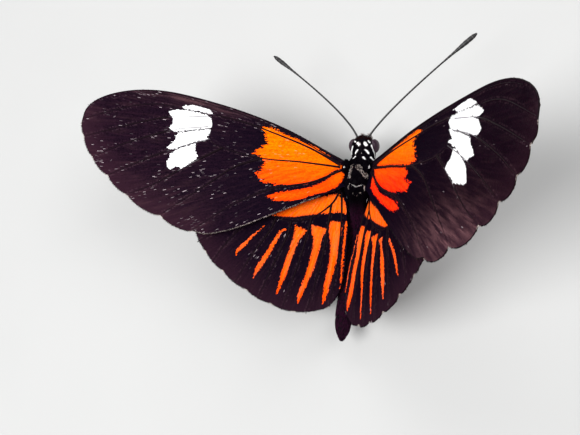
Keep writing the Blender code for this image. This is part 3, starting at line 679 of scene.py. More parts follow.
def newShapeTree(name, inputs):
    tree = bpy.data.node_groups.new(name, "GeometryNodeTree")
    for label, kind in (("Geometry", "Geometry"), *inputs):
        tree.interface.new_socket(label, in_out="INPUT", socket_type="NodeSocket" + kind)
    tree.interface.new_socket("Geometry", in_out="OUTPUT", socket_type="NodeSocketGeometry")
    return tree, tree.nodes.new("NodeGroupInput").outputs, tree.nodes.new("NodeGroupOutput").inputs


def readNamed(tree, name, kind="FLOAT_VECTOR"):
    return addNode(tree, "GeometryNodeInputNamedAttribute", {"Name": name}, data_type=kind).outputs["Attribute"]


def geometry(tree, kind, values, **settings):
    return addNode(tree, "GeometryNode" + kind, values, **settings).outputs[0]


def rootTree():
    tree, given, out = newShapeTree("shapesOnRoots", [("Shape", "Object"), ("Finish", "Material"),
                                                      ("Patch", "Float")])
    shape = addNode(tree, "GeometryNodeObjectInfo", {"Object": given["Shape"]}).outputs["Geometry"]
    turn = addNode(tree, "FunctionNodeAxesToRotation", {
        "Primary Axis": readNamed(tree, "face"), "Secondary Axis": readNamed(tree, "lie")},
        primary_axis="Z", secondary_axis="Y").outputs["Rotation"]
    last = geometry(tree, "InstanceOnPoints", {"Points": given["Geometry"], "Instance": shape, "Rotation": turn,
                                               "Scale": readNamed(tree, "size")})
    last = geometry(tree, "RealizeInstances", {"Geometry": last})
    patch = addNode(tree, "ShaderNodeVectorMath", {0: readNamed(tree, "within"), "Scale": given["Patch"]},
                    operation="SCALE").outputs[0]
    place = addNode(tree, "ShaderNodeVectorMath", {0: readNamed(tree, "rootPlace"), 1: patch}).outputs[0]
    last = geometry(tree, "StoreNamedAttribute", {"Geometry": last, "Name": "OFBake", "Value": place},
                    data_type="FLOAT2", domain="CORNER")
    for name in ("face", "lie", "size", "within", "rootPlace"):
        last = geometry(tree, "RemoveAttribute", {"Geometry": last, "Name": name})
    tree.links.new(geometry(tree, "SetMaterial", {"Geometry": last, "Material": given["Finish"]}), out["Geometry"])
    return tree


def tubeTree():
    tree, given, out = newShapeTree("tubesOnLines", [("Sides", "Int"), ("Finish", "Material")])
    curve = geometry(tree, "MeshToCurve", {"Mesh": given["Geometry"]})
    ring = geometry(tree, "CurvePrimitiveCircle", {"Resolution": given["Sides"], "Radius": 1.0})
    last = geometry(tree, "CurveToMesh", {"Curve": curve, "Profile Curve": ring, "Fill Caps": True,
                                          "Scale": readNamed(tree, "thick", "FLOAT")})
    for kind in ("SetShadeSmooth", "RealizeInstances"):
        last = geometry(tree, kind, {"Geometry": last})
    tree.links.new(geometry(tree, "SetMaterial", {"Geometry": last, "Material": given["Finish"]}), out["Geometry"])
    return tree


shapesOnRoots, tubesOnLines = rootTree(), tubeTree()


def throughTree(mesh, tree, inputs):   # a plain mesh of what the tree makes from mesh
    holder = addObject("holder", mesh)
    modifier = holder.modifiers.new("shape", "NODES")
    modifier.node_group = tree
    for item in tree.interface.items_tree:
        if item.in_out == "INPUT" and item.name in inputs:
            modifier[item.identifier] = inputs[item.name]
    graph = bpy.context.evaluated_depsgraph_get()
    result = bpy.data.meshes.new_from_object(holder.evaluated_get(graph), preserve_all_data_layers=True,
                                             depsgraph=graph)
    bpy.data.objects.remove(holder, do_unlink=True)
    return result


def growShapes(roots, shape, finish):
    mesh = bpy.data.meshes.new("roots")
    mesh.from_pydata(toRow(roots["place"]), [], [])
    values = {key: value for key, value in roots.items() if key != "place"}
    values["size"] = np.asarray(values["size"]) * mm
    setAttributes(mesh, values)
    return throughTree(mesh, shapesOnRoots, {"Shape": shape, "Finish": finishes[finish], "Patch": bakePatch})


def addHair(name, parts):   # parts: groups of roots with the same fields
    roots = {key: np.concatenate([part[key] for part in parts]) for key in parts[0]}
    addPiece(name, growShapes(roots, hairTemplate, "hair"), "hair")


def addTubes(name, lines, finish, sides, replaced=()):   # each line: x, y, z, radius, and a field if named
    points, edges, fields = [], [], {}
    for line, extra in lines:
        edges.extend((len(points) + i, len(points) + i + 1) for i in range(len(line) - 1))
        points.extend(line)
        for key, value in extra.items():
            fields.setdefault(key, []).extend(value)
    points = np.array(points)
    mesh = bpy.data.meshes.new("lines")
    mesh.from_pydata(toRow(points[:, :3]).tolist(), edges, [])
    setAttributes(mesh, {"thick": points[:, 3] * mm, **fields})
    tubes = throughTree(mesh, tubesOnLines, {"Sides": sides, "Finish": finishes[finish]})
    addPiece(name, tubes, finish, replaced)


def templateShape(name, points, faces):   # one unit shape: x across, y along its lie, z out
    mesh = bpy.data.meshes.new(name)
    mesh.from_pydata(points, [], faces)
    faceOutwards(mesh)
    setAttributes(mesh, {"within": [(x, y - 0.5, 0.0) for x, y, _ in points]})
    return addObject(name, mesh)


bakePatch = 0.003
scaleTemplate = templateShape("scaleTemplate", [
    (-0.36, 0, 0), (0.36, 0, 0), (-0.5, 0.82, 1), (0, 1, 1), (0.5, 0.82, 1),
    (-0.5, 0.82, 0.2), (0, 1, 0.2), (0.5, 0.82, 0.2)],
    [(0, 1, 4, 3, 2), (0, 5, 6, 7, 1), (2, 3, 6, 5), (3, 4, 7, 6), (0, 2, 5), (1, 7, 4)])
hairTemplate = templateShape("hairTemplate", [
    (-0.5, 0, 0), (0.5, 0, 0), (0, 0, 0.9), (-0.42, 0.5, 0.55), (0.42, 0.5, 0.55), (0, 0.5, 1.3), (0, 1, 0.7)],
    [(0, 1, 2), (0, 3, 4, 1), (1, 4, 5, 2), (2, 5, 3, 0), (3, 6, 4), (4, 6, 5), (5, 6, 3)])
print("node trees made")


# The four wings

scaleRows = {"across": 0.164, "row": 0.193, "height": 0.03, "spill": {"orange": 0.06, "white": 0.03}}
underRows = {"across": 0.25, "row": 0.28, "height": 0.04, "spill": {"orange": 0.1, "white": 0.1}}
tileBuild = {"long": 1.7, "wide": 1.2, "uneven": 0.12, "tip": 0.8, "seen": 0.55, "sink": 0.01, "sway": 0.07,
             "bent": 0.02, "bentMore": 6, "nearby": 0.02}
fleckBuild = {"clump": 1.6, "veinAt": 0.25, "veinOver": 0.2, "from": 3, "thin": 0.32, "long": 1.6, "high": 2.0,
              "dimmest": 0.08, "brighter": 0.8, "rarity": 2.5}
hairBuild = {"ahead": 0.05, "out": 0.05, "unwrapStep": 1.0}
fringe = {"spacing": 0.1, "long": 0.27, "wide": 0.1, "tuft": 0.45, "tuftOver": 0.5, "pale": (0.4, 1.2),
          "inset": 0.08, "ends": (0.003, 0.997), "step": 0.05}
rootHair = {"left": 110, "right": 260, "long": 0.8, "wide": 0.07, "reach": 0.7, "lean": (-0.15, 0.35),
            "lift": 0.05, "stand": 0.25}
innerHair = {"count": 1300, "long": 1.05, "wide": 0.07, "crowd": 0.7, "lean": (0.4, 1.0), "shortest": 0.35,
             "inset": 0.1, "stand": -0.15}
hindLine = {"count": 420, "long": 0.2, "wide": 0.06, "until": 0.8, "stray": 0.3, "pale": (0.4, 1.3), "inset": 0.1,
            "lift": 0.06}
veinBuild = {"root": 0.19, "tip": 0.05, "fine": 0.09, "front": 0.19, "step": 0.5, "sink": 0.03, "inWhite": 0.45}
# hue runs from 0 yellow to 1 red, and the right forewing's higher hue is partly painted shade for the way light falls
# on that wing; the strengths of the two sheen spots are painted sheen, shade is painted shade, the strength of the
# pale streaks on orange is painted highlight, and flecks sets how many loose scales carry painted glints; comb is how
# far orange frays, edge and hindLine how pale the rim hairs are
wingLook = table("hue redder reddest bloom flecks byVeins gloss front shade comb edge hindLine", {
    "forewing_left": (0.14, 0.15, 0.62, 0.0, 0.032, 0.9, 0.1, 0.9, 0.0, 2.2, 0.22, 0.3),
    "forewing_right": (0.42, 0.21, 1.0, 0.02, 0.003, 0.3, 1.2, 0.0, 0.5, 2.2, 0.05, 0.12),
    "hindwing_left": (0.09, 0.022, 0.5, 0.1, 0.005, 1.5, 0.0, 0.0, 0.2, 0.3, 0.1),
    "hindwing_right": (0.17, 0.02, 0.5, 0.14, 0.003, 0.5, 0.0, 0.0, 0.0, 0.3, 0.05),
})


def wingSheet(name, outline):
    shape, step = wingShape(name), wingBuild["step"]
    low, high = outline.min(axis=0), outline.max(axis=0)
    across, along = int((high[0] - low[0]) / step) + 1, int((high[1] - low[1]) / step * 1.155) + 1
    i, j = np.meshgrid(np.arange(across), np.arange(along))
    spots = np.stack([low[0] + (i + 0.5 * (j % 2)) * step, low[1] + j * step * 0.866], axis=-1).reshape(-1, 2)
    spots = spots[isInside(spots, outline)]
    spots = spots[lineDistance(spots, outline, True) > step * 0.6]
    points = [Vector(p) for p in np.vstack([outline, spots])]
    edges = [(k, (k + 1) % len(outline)) for k in range(len(outline))]
    flat, _, faces, *_ = delaunay_2d_cdt(points, edges, [list(range(len(outline)))], 1, 1e-5)
    flat = np.array([tuple(p) for p in flat])
    count = len(flat)
    sides = {(a, b) for face in faces for a, b in zip(face, [*face[1:], face[0]])}
    skin = [tuple(face) for face in faces]
    skin += [tuple(k + count for k in reversed(face)) for face in faces]
    skin += [(b, a, a + count, b + count) for a, b in sides if (b, a) not in sides]
    base, half = pleats(shape, flat), wingBuild["thickness"] / 2
    points = np.vstack([onWing(name, flat, base + half), onWing(name, flat, base - half)])
    marks = {key: np.concatenate([value, value]) for key, value in markings(name, flat).items()}
    return meshFrom(points, skin, {**marks, "under": np.repeat([0.0, 1.0], count)}, 60)


def unwrapped(flat, outline):
    low, span = outline.min(axis=0), np.ptp(outline, axis=0).max()
    return bakePlace(*((flat - low) / span * 0.98 + 0.01).T)


def wingScales(name, outline, rows, under, seed):
    shape, build, fleck = wingShape(name), tileBuild, fleckBuild
    draw = np.random.default_rng(seed)
    fan = np.asarray(shape["fan"])
    radii = lengths(outline - fan)
    angles = np.arctan2(*(outline - fan).T[::-1])
    spots = []
    for k, radius in enumerate(np.arange(radii.min(), radii.max(), rows["row"])):
        turn = rows["across"] / radius
        angle = np.arange(angles.min() + turn * 0.5 * (k % 2), angles.max(), turn)
        angle = angle + draw.normal(0, turn * build["uneven"], len(angle))
        spots.append(fan + radius * columns(np.cos(angle), np.sin(angle)))
    flat = np.vstack(spots)
    flat = flat[isInside(flat, outline)]
    long = rows["row"] * build["long"]
    flat = flat[isInside(flat + unit(flat - fan) * long * build["tip"], outline)]
    count, side = len(flat), -1.0 if under else 1.0
    height = pleats(shape, flat) + side * (wingBuild["thickness"] / 2 - build["sink"])
    here = onWing(name, flat, height)
    sway = draw.normal(0, build["sway"], count)
    sway = np.where(draw.random(count) < build["bent"], sway * build["bentMore"], sway)
    out = unit(flat - fan)
    lie = columns(out[:, 0] - out[:, 1] * sway, out[:, 1] + out[:, 0] * sway)
    ahead = unit(onWing(name, flat + lie * build["nearby"], height) - here)
    across = onWing(name, flat + columns(-lie[:, 1], lie[:, 0]) * build["nearby"], height) - here
    face = unit(np.cross(ahead, across)) * side * (-1 if name.endswith("left") else 1)
    marks = markings(name, flat + lie * long * build["seen"])
    for key, spill in rows["spill"].items():
        marks[key] = marks[key] - spill
    u, v = flat.T
    clump = np.maximum(0, 0.35 + 0.65 * np.sin(u * 0.55 + 1.0) * np.sin(v * 0.8 - u * 0.2)) * fleck["clump"]
    clump += wingLook[name]["byVeins"] * np.exp(-((marks["vein"] - fleck["veinAt"]) / fleck["veinOver"]) ** 2)
    # flecks: loose scales, raised for real, whose pale colour is painted glint, thickest on the left forewing
    loose = (draw.random(count) < wingLook[name]["flecks"] * clump) & (u > fleck["from"]) & (not under)
    size = [rows["across"] * build["wide"] * draw.uniform(0.85, 1.1, count) * np.where(loose, fleck["thin"], 1),
            long * draw.uniform(0.85, 1.15, count) * np.where(loose, fleck["long"], 1),
            rows["height"] * draw.uniform(0.6, 1.4, count) * np.where(loose, fleck["high"], 1)]
    tone = draw.random(count)
    # painted glint: how pale each loose scale is painted, with a few of them bright
    glint = fleck["dimmest"] + fleck["brighter"] * draw.random(count) ** fleck["rarity"]
    roots = {"place": here, "face": face, "lie": ahead, "size": np.stack(size, axis=1), "tone": tone,
             "fleck": loose * glint, "under": np.full(count, float(under)), "rootPlace": unwrapped(flat, outline),
             **marks}
    return growShapes(roots, scaleTemplate, "scales")


def hairOnWing(name, flat, toward, height, build, tone, draw, stand=0.0, share=1.0):
    base = pleats(wingShape(name), flat) + height
    here, count, long, wide = onWing(name, flat, base), len(flat), build["long"] * share, build["wide"]
    ahead = unit(onWing(name, flat + toward * hairBuild["ahead"], base) - here)
    face = unit(onWing(name, flat, base + hairBuild["out"]) - here)
    size = [wide * draw.uniform(0.8, 1.2, count), long * draw.uniform(0.7, 1.2, count), np.full(count, wide * 0.5)]
    return hairRoots(here, face, unit(ahead + face * stand), size, tone, draw.random(count),
                     unwrapped(flat, wingOutline(name, hairBuild["unwrapStep"])))


def alongLine(line, spots):   # points at these shares of the line's length, which way is left of it, and ahead
    far = travelled(line)
    at = spots * far[-1]
    ahead = unit(readAlong(at + 0.2, far, line) - readAlong(at - 0.2, far, line))
    return readAlong(at, far, line), columns(-ahead[:, 1], ahead[:, 0]), ahead


def addFringe(name, seed):   # short hairs on the outer edge, and long ones on the root and inner edge
    shape, look, draw = wingShape(name), wingLook[name], np.random.default_rng(seed)
    edge = outerEdge(name, fringe["step"])
    long = lengths(np.diff(edge, axis=0)).sum()
    flat, left, _ = alongLine(edge, np.linspace(*fringe["ends"], int(long / fringe["spacing"])))
    gap = np.min([lengths(flat - notch) for notch in np.asarray(shape["notches"])], axis=0)
    pale = look["edge"] + fringe["tuft"] * np.exp(-(gap / fringe["tuftOver"]) ** 2)
    pale = pale * draw.uniform(*fringe["pale"], len(flat))
    parts = [hairOnWing(name, flat - left * fringe["inset"], left, 0.0, fringe, pale, draw)]
    count = rootHair["left" if name.endswith("left") else "right"]
    flat, _, _ = alongLine(smoothLine([shape["rootFront"], shape["rootBack"]], 0.2), draw.random(count))
    flat = flat + columns(draw.random(count) * rootHair["reach"], np.zeros(count))
    toward = unit(columns(np.ones(count), draw.normal(*rootHair["lean"], count)))
    parts.append(hairOnWing(name, flat, toward, rootHair["lift"], rootHair, np.zeros(count), draw,
                            rootHair["stand"]))
    inner = smoothLine([shape["notches"][-1], *shape["hind"], shape["rootBack"]], 0.3)
    if shape is forewing:
        flat, left, _ = alongLine(inner, np.linspace(0.0, hindLine["until"], hindLine["count"]))
        toward = unit(left + draw.normal(0, hindLine["stray"], left.shape))
        pale = look["hindLine"] * draw.uniform(*hindLine["pale"], len(flat))
        flat = flat - left * hindLine["inset"]
        parts.append(hairOnWing(name, flat, toward, hindLine["lift"], hindLine, pale, draw))
    else:
        count = innerHair["count"]
        share = draw.random(count) ** innerHair["crowd"]
        flat, left, ahead = alongLine(inner, share)
        toward = unit(left * draw.uniform(*innerHair["lean"], (count, 1)) - ahead)
        share = innerHair["shortest"] + (1 - innerHair["shortest"]) * share
        parts.append(hairOnWing(name, flat - left * innerHair["inset"], toward, 0.0, innerHair, np.zeros(count),
                                draw, innerHair["stand"], share))
    addHair(name + "_fringe", parts)


def addVeins(name):
    shape, lines = wingShape(name), []
    flats = veinLines(shape, veinBuild["step"])
    for side in (1, -1):
        for order, flat in enumerate(flats):
            thickest = veinBuild["front" if order == len(flats) - 1 else "root"]
            if shape is forewing and order < 2:   # costa and subcosta are fine lines beside the leading edge
                thickest = veinBuild["fine"]
            white = patchField(flat, wingMarkings[name]["white"])
            radii = thickest + (veinBuild["tip"] - thickest) * np.linspace(0, 1, len(flat)) ** 0.7
            radii = radii * np.where(white > -0.4, veinBuild["inWhite"], 1.0)
            height = pleats(shape, flat) + side * (wingBuild["thickness"] / 2 - veinBuild["sink"])
            lines.append((np.c_[onWing(name, flat, height), radii], {"white": white}))
    addTubes(name + "_veins", lines, "veins", 8)


for order, name in enumerate(wingPoses):
    outline = wingOutline(name, wingBuild["marginStep"])
    addPiece(name + "_membrane", wingSheet(name, outline), "membrane", [name])
    addVeins(name)
    for label, rows, under in (("_scales", scaleRows, 0), ("_underscales", underRows, 1)):
        scales = wingScales(name, outline, rows, under, 10 + 4 * order + under)
        addPiece(name + label, scales, "scales")
    addFringe(name, 40 + order)
    print(name, "made,", sum(len(piece.data.polygons) for piece in pieceList[-5:]), "faces")


# The body: one skin from face to tail, under hair and small scales

bodyRows = {"sides": 72, "step": 0.12, "radius": 1.5}
bodyStations = [   # x, y, z of the centre, half width, half height, and 1 for round or less for boxy
    (0.05, 5.3, -1.65, 0.2, 0.25, 1.0), (0.08, 5.05, -1.65, 0.8, 0.82, 0.9), (0.1, 4.6, -1.62, 1.27, 1.22, 0.8),
    (0.1, 3.9, -1.65, 1.65, 1.5, 0.72), (0.1, 3.2, -1.75, 1.75, 1.6, 0.72), (0.12, 2.5, -2.0, 1.7, 1.66, 0.8),
    (0.15, 2.0, -2.1, 1.65, 1.65, 0.86), (0.15, 1.5, -2.05, 1.85, 1.85, 0.88), (0.12, 1.0, -2.0, 1.92, 1.98, 0.9),
    (0.08, 0.7, -1.95, 1.86, 1.95, 0.9), (0.03, 0.3, -1.75, 1.84, 2.05, 0.9), (0, -0.3, -1.55, 1.9, 2.15, 0.9),
    (0, -1.5, -1.42, 2.02, 2.28, 0.9), (0, -2.4, -1.42, 1.95, 2.2, 0.9), (0, -2.75, -1.45, 1.86, 2.06, 0.92),
    (0, -3.2, -1.5, 1.72, 1.98, 0.92), (0, -3.9, -1.65, 1.4, 1.65, 0.95), (0, -4.4, -1.95, 1.28, 1.3, 1.0),
    (0, -4.9, -2.35, 1.18, 1.12, 1.0), (-0.1, -6.2, -3.15, 1.17, 1.06, 1.0), (-0.35, -8.2, -4.25, 1.05, 0.96, 1.0),
    (-0.75, -10.6, -5.0, 0.85, 0.85, 1.0), (-1.05, -14.0, -5.3, 0.82, 0.83, 1.0),
    (-1.08, -18.0, -5.25, 1.0, 0.95, 1.0), (-0.88, -21.0, -5.12, 1.2, 1.02, 1.0),
    (-0.78, -22.8, -5.0, 1.06, 0.92, 1.0), (-0.72, -24.1, -4.9, 0.6, 0.54, 1.0),
    (-0.68, -24.75, -4.85, 0.15, 0.16, 1.0)]
eyeBuild = {"centre": (1.55, 3.85, -1.85), "shift": 0.1, "radii": (0.74, 1.02, 1.15), "facets": 5, "inset": 0.82,
            "dome": 0.012}
segments = {"first": -5.6, "length": 2.6, "groove": 0.08, "width": 0.12, "swell": 0.35, "plain": 0.3}

def mark(half, *line, paleness=1.0, share=1.0, length=0.6):   # share of the hairs are pale, and length times as long
    return half, paleness, share, length, line


bodyMarks = [
    mark(0.17, (-0.36, 3.75, -0.14), (-0.1, 3.42, -0.14)), mark(0.19, (0.62, 3.8, -0.16), (0.85, 3.5, -0.2)),
    mark(0.08, (-0.96, 4.1, -0.4), (-0.78, 3.92, -0.27)), mark(0.1, (1.15, 4.13, -0.41), (1.3, 3.95, -0.44)),
    mark(0.11, (-1.13, 3.28, -0.39), (-1.32, 2.84, -0.71), (-1.4, 2.39, -1.15)),
    mark(0.13, (1.59, 3.54, -0.61), (1.77, 3.03, -1.1), (1.8, 2.7, -1.7), (1.75, 2.35, -2.2)),
    mark(0.09, (-0.36, 2.72, -0.27), (-0.66, 2.28, -0.55)), mark(0.11, (0.86, 2.8, -0.3), (1.2, 2.42, -0.75)),
    mark(0.06, (0.25, 2.27, -0.45), (0.27, 2.3, -0.45), paleness=0.7),
    mark(0.1, (-0.64, 1.74, -0.5), (-0.8, 1.5, -0.4)), mark(0.12, (0.6, 1.66, -0.42), (0.9, 1.43, -0.45)),
    mark(0.15, (1.5, 1.85, -1.1), (1.75, 1.6, -1.5), (1.95, 1.3, -1.95)),
    mark(0.12, (-1.6, 1.65, -1.3), (-1.85, 1.3, -1.9)),
    mark(0.2, (-0.72, 0.16, 0.26), (-0.7, -0.68, 0.6), (-0.69, -1.6, 0.77), paleness=0.4, share=0.75),
    mark(0.36, (0.31, 0.07, 0.42), (0.78, -0.37, 0.48), (1.24, -0.83, 0.34), (1.6, -1.3, 0.0),
         paleness=0.6, share=0.8),
    mark(0.055, (-0.59, -2.55, 0.65), (-0.15, -2.77, 0.6), (0.35, -3.02, 0.52), (0.78, -2.83, 0.44),
         (1.29, -2.52, 0.28), paleness=0.85, length=0.35),
    mark(0.07, (-0.77, -2.86, 0.43), (-0.75, -3.43, 0.17), paleness=0.5, share=0.7),
    mark(0.09, (1.5, -2.6, 0.1), (1.5, -3.2, -0.1), paleness=0.6),
    mark(0.07, (-0.25, -3.78, 0.08), (0.28, -4.11, -0.28), (0.86, -3.74, -0.16), (1.24, -4.03, -1.04),
         paleness=0.55, share=0.4, length=0.4),
]


def eyeCentre(side):
    x, y, z = eyeBuild["centre"]
    return np.array([x * side + eyeBuild["shift"], y, z])


def bodyRing():   # dense rows of the body's centre line and half sizes, with the tail's segments
    rows = smoothLine(bodyStations, bodyRows["step"])
    behind = np.maximum(segments["first"] - rows[:, 1], 0) / segments["length"]
    share = behind - np.floor(behind)
    step = segments["groove"] * (np.exp(-share / segments["width"]) - segments["swell"] * share)
    rows[:, 3:5] *= (1 - step * (behind > segments["plain"]))[:, None]
    return rows


bodyLine = bodyRing()
bodyOrder = np.arange(len(bodyLine))


def bodyAt(index):
    return readAlong(np.clip(index, 0, len(bodyLine) - 1), bodyOrder, bodyLine).T


def onBody(place, angle, out=0.0):   # place along the rows, angle from the right side upwards
    x, y, z, wide, high, power = bodyAt(place)
    across, up = np.cos(angle), np.sin(angle)
    return columns(x + (wide + out) * np.sign(across) * np.abs(across) ** power, y,
                     z + (high + out) * np.sign(up) * np.abs(up) ** power)


def bodyNormal(place, angle):
    around = onBody(place, angle + 0.03) - onBody(place, angle - 0.03)
    along = onBody(place + 0.5, angle) - onBody(place - 0.5, angle)
    return unit(np.cross(around, along))


def unrolled(points):   # y and the way round the body, in millimetres
    x, _, z, wide, high, _ = bodyAt(np.interp(-points[:, 1], -bodyLine[:, 1], bodyOrder))
    angle = np.arctan2((points[:, 0] - x) / wide, (points[:, 2] - z) / high)
    return columns(points[:, 1], angle * bodyRows["radius"])


def markTone(points, draw=None):   # how pale the marks make each place on the body, and how long its hair is
    flat = unrolled(points)
    tone, long = np.zeros(len(points)), np.ones(len(points))
    for half, paleness, share, length, line in bodyMarks:
        within = lineDistance(flat, unrolled(np.asarray(line, float))) < half
        if draw is not None:
            within &= draw.random(len(points)) < share
        tone = np.where(within, np.maximum(tone, paleness), tone)
        long = np.where(within, length, long)
    return tone, long


def bodySkin():
    sides, rows = bodyRows["sides"], len(bodyLine)
    place, angle = np.meshgrid(bodyOrder, np.arange(sides) * 2 * math.pi / sides, indexing="ij")
    points = onBody(place.ravel().astype(float), angle.ravel())
    faces = []
    for i in range(rows - 1):
        for k in range(sides):
            a, b = i * sides + k, i * sides + (k + 1) % sides
            faces.append((a, b, b + sides, a + sides))
    faces += [tuple(range(sides)), tuple(range((rows - 1) * sides, rows * sides))]
    return meshFrom(points, faces, {"tone": markTone(points)[0] * (points[:, 1] > 1.0)}, 50)


addPiece("body_skin", bodySkin(), "skin", ["head", "collar", "thorax", "abdomen"])

coatZones = [   # first and last y, hairs per square millimetre, length, width, how far they stand out
    (5.2, 4.3, 90, 0.36, 0.05, 0.5), (4.3, 2.0, 150, 0.26, 0.06, 0.14), (2.0, 0.7, 120, 0.34, 0.06, 0.2),
    (0.7, -2.7, 110, 0.34, 0.055, 0.12), (-2.7, -5.4, 110, 0.45, 0.06, 0.25), (-5.4, -24.5, 55, 0.4, 0.1, 0.06),
]
coatBuild = {"sunk": -0.02, "eyeRoom": 1.04, "face": 5, "seen": 0.3, "pale": 0.3, "lift": 0.02, "white": 0.9,
             "whiteWide": 1.6, "plumFrom": -4.5, "plumOver": 2.0, "rust": 0.06, "rustFrom": (4.3, -1.6)}


def lieBack(normals, stand, draw, forward=False):   # along the body, bent out by stand
    back = np.tile([0.0, 1.0 if forward else -1.0, 0.0], (len(normals), 1))
    back = back + draw.normal(0, 0.12, back.shape)
    return unit(squareTo(back, normals) + normals * stand)


def bodyCoat():
    draw, build, parts = np.random.default_rng(7), coatBuild, []
    for first, last, density, length, width, stand in coatZones:
        start, stop = np.interp((-first, -last), -bodyLine[:, 1], bodyOrder)
        samples = np.linspace(start, stop, 60)
        wide = np.interp(samples, bodyOrder, bodyLine[:, 3])
        count = int(abs(last - first) * 2 * math.pi * wide.mean() * density)
        place = np.interp(draw.random(count) * wide.sum(), np.cumsum(wide), samples)
        angle = draw.random(count) * 2 * math.pi
        here, face = onBody(place, angle, build["sunk"]), bodyNormal(place, angle)
        away = [np.linalg.norm((here - eyeCentre(side)) / eyeBuild["radii"], axis=1) for side in (-1, 1)]
        clear = np.min(away, axis=0) >= build["eyeRoom"]   # none under the eyes
        here, face, place, angle = here[clear], face[clear], place[clear], angle[clear]
        count = len(here)
        lie = lieBack(face, stand, draw, first > build["face"])
        long = length * draw.uniform(0.7, 1.3, count)
        tone, short = markTone(here + lie * long[:, None] * build["seen"], draw)
        lift = np.where(tone > build["pale"], build["lift"], 0.0)[:, None]
        size = [width * draw.uniform(0.8, 1.2, count) * np.where(tone > build["white"], build["whiteWide"], 1.0),
                long * short, np.full(count, width * 0.5)]
        roots = hairRoots(here + face * lift, face, lie, size, tone * draw.uniform(0.85, 1.0, count),
                          draw.random(count), bakePlace(angle / (2 * math.pi) % 1.0, place / len(bodyLine)))
        plum = np.clip((build["plumFrom"] - here[:, 1]) / build["plumOver"], 0, 1)
        roots["plum"] = plum * draw.uniform(0.4, 1.0, count)
        inFront = (here[:, 1] > build["rustFrom"][0]) & (here[:, 2] > build["rustFrom"][1])
        roots["rust"] = np.where(inFront & (tone < build["pale"]), build["rust"], 0.0)
        parts.append(roots)
    return parts


addHair("body_coat", bodyCoat())
print("body made")


# Eyes

def eyeMesh(side):
    work = bmesh.new()
    bmesh.ops.create_icosphere(work, subdivisions=eyeBuild["facets"], radius=1.0)
    corners = np.array([tuple(vertex.co) for vertex in work.verts])
    centres = np.array([tuple(face.calc_center_median()) for face in work.faces])
    rings = []
    for vertex in work.verts:   # the faces round a vertex, in order, make one six-sided facet
        loop, faces = vertex.link_loops[0], []
        for _ in vertex.link_faces:
            faces.append(loop.face.index)
            loop = loop.link_loop_prev.link_loop_radial_next
        rings.append(faces)
    work.free()
    centre, radii = eyeCentre(side), np.array(eyeBuild["radii"])
    points, faces = [*unit(centres)], []
    for ring, corner in zip(rings, corners):
        first = len(points)
        for k in ring:
            inner = corner + (points[k] - corner) * eyeBuild["inset"]
            points.append(unit(inner) * (1 + eyeBuild["dome"]))
        size = len(ring)
        faces.append(tuple(first + k for k in range(size)))
        faces.extend((ring[k], ring[(k + 1) % size], first + (k + 1) % size, first + k) for k in range(size))
    return meshFrom(np.array(points) * radii + centre, faces, {}, 20)


for label, side in bothSides:
    addPiece(f"eye_{label}_facets", eyeMesh(side), "eye", [f"eye_{label}"])
print("eyes made")


# Feelers, tongue, palps and legs

antennaBuild = {
    "root": (0.75, 4.75, -1.05), "rings": 42, "points": 260, "ringDepth": 0.07,
    "sweep": {"left": ((3.4, 7.3, 1.1), (11.1, 5.1, 1.2)), "right": ((5.5, 8.1, 3.0), (9.3, 5.4, 1.5))},
    "radii": [(0.0, 0.30), (0.02, 0.34), (0.035, 0.15), (0.8, 0.125), (0.87, 0.18), (0.94, 0.34), (0.98, 0.32),
              (1.0, 0.12)],
}
coilBuild = {"centre": (0.0, 4.15, -5.0), "radii": (0.42, 1.35), "turns": 1.3, "tube": 0.2, "points": 150,
             "stem": [(0.0, 4.0, -2.9), (0, 4.25, -3.4)], "start": 80, "taper": 0.4, "rib": 0.05, "ribs": 80}
palpBuild = {"path": [(0.55, 3.9, -2.6), (0.6, 4.5, -3.3), (0.57, 5.3, -3.1), (0.52, 5.75, -2.3)],
             "radii": [0.26, 0.33, 0.28, 0.12]}
floorDepth = -bodyPlace["rootsAboveFloor"]
legBuild = {
    "foreleg": {"path": [(0.6, 0.2, -2.6), (0.75, 1.2, -3.9), (0.8, 1.9, -4.5), (0.7, 1.1, -5.2),
                         (0.55, 0.3, -5.6)],
                "radii": [0.34, 0.36, 0.24, 0.2, 0.13], "bristles": 46},
    "midleg": {"path": [(0.8, -0.9, -2.8), (1.45, -0.7, -4.6), (5.2, 0.9, -4.4), (8.2, 2.0, floorDepth + 0.5),
                        (8.8, 2.3, floorDepth + 0.2), (11.4, 3.6, floorDepth + 0.2)],
               "radii": [0.42, 0.4, 0.26, 0.2, 0.2, 0.14], "bristles": 30},
    "hindleg": {"path": [(0.55, -2.6, -2.8), (0.95, -3.1, -4.7), (4.6, -6.6, -4.8),
                         (6.6, -9.7, floorDepth + 0.5), (7.0, -10.3, floorDepth + 0.2),
                         (8.3, -13.4, floorDepth + 0.2)],
                "radii": [0.42, 0.4, 0.26, 0.2, 0.2, 0.14], "bristles": 30},
}
footBuild = {"ease": 0.1, "step": 0.12, "swell": 0.12, "length": 3.2, "segment": 0.64, "waist": 0.18}
limbHair = {"sunk": 0.92, "stand": 0.35, "wide": 0.045, "high": 0.03, "overFloor": 0.08}


def antennaLine(label, side):
    t = np.linspace(0, 1, antennaBuild["points"])
    first, second = (np.array(v) for v in antennaBuild["sweep"][label])
    points = np.array(antennaBuild["root"]) + t[:, None] * first + t[:, None] ** 2 * second
    points[:, 0] *= side
    stops, sizes = zip(*antennaBuild["radii"])
    ring = np.abs(np.sin(math.pi * antennaBuild["rings"] * t))
    radii = np.interp(t, stops, sizes) * (1 - antennaBuild["ringDepth"] * (1 - ring) ** 3 * 2)
    return np.c_[points, radii], {"ring": 1 - ring}


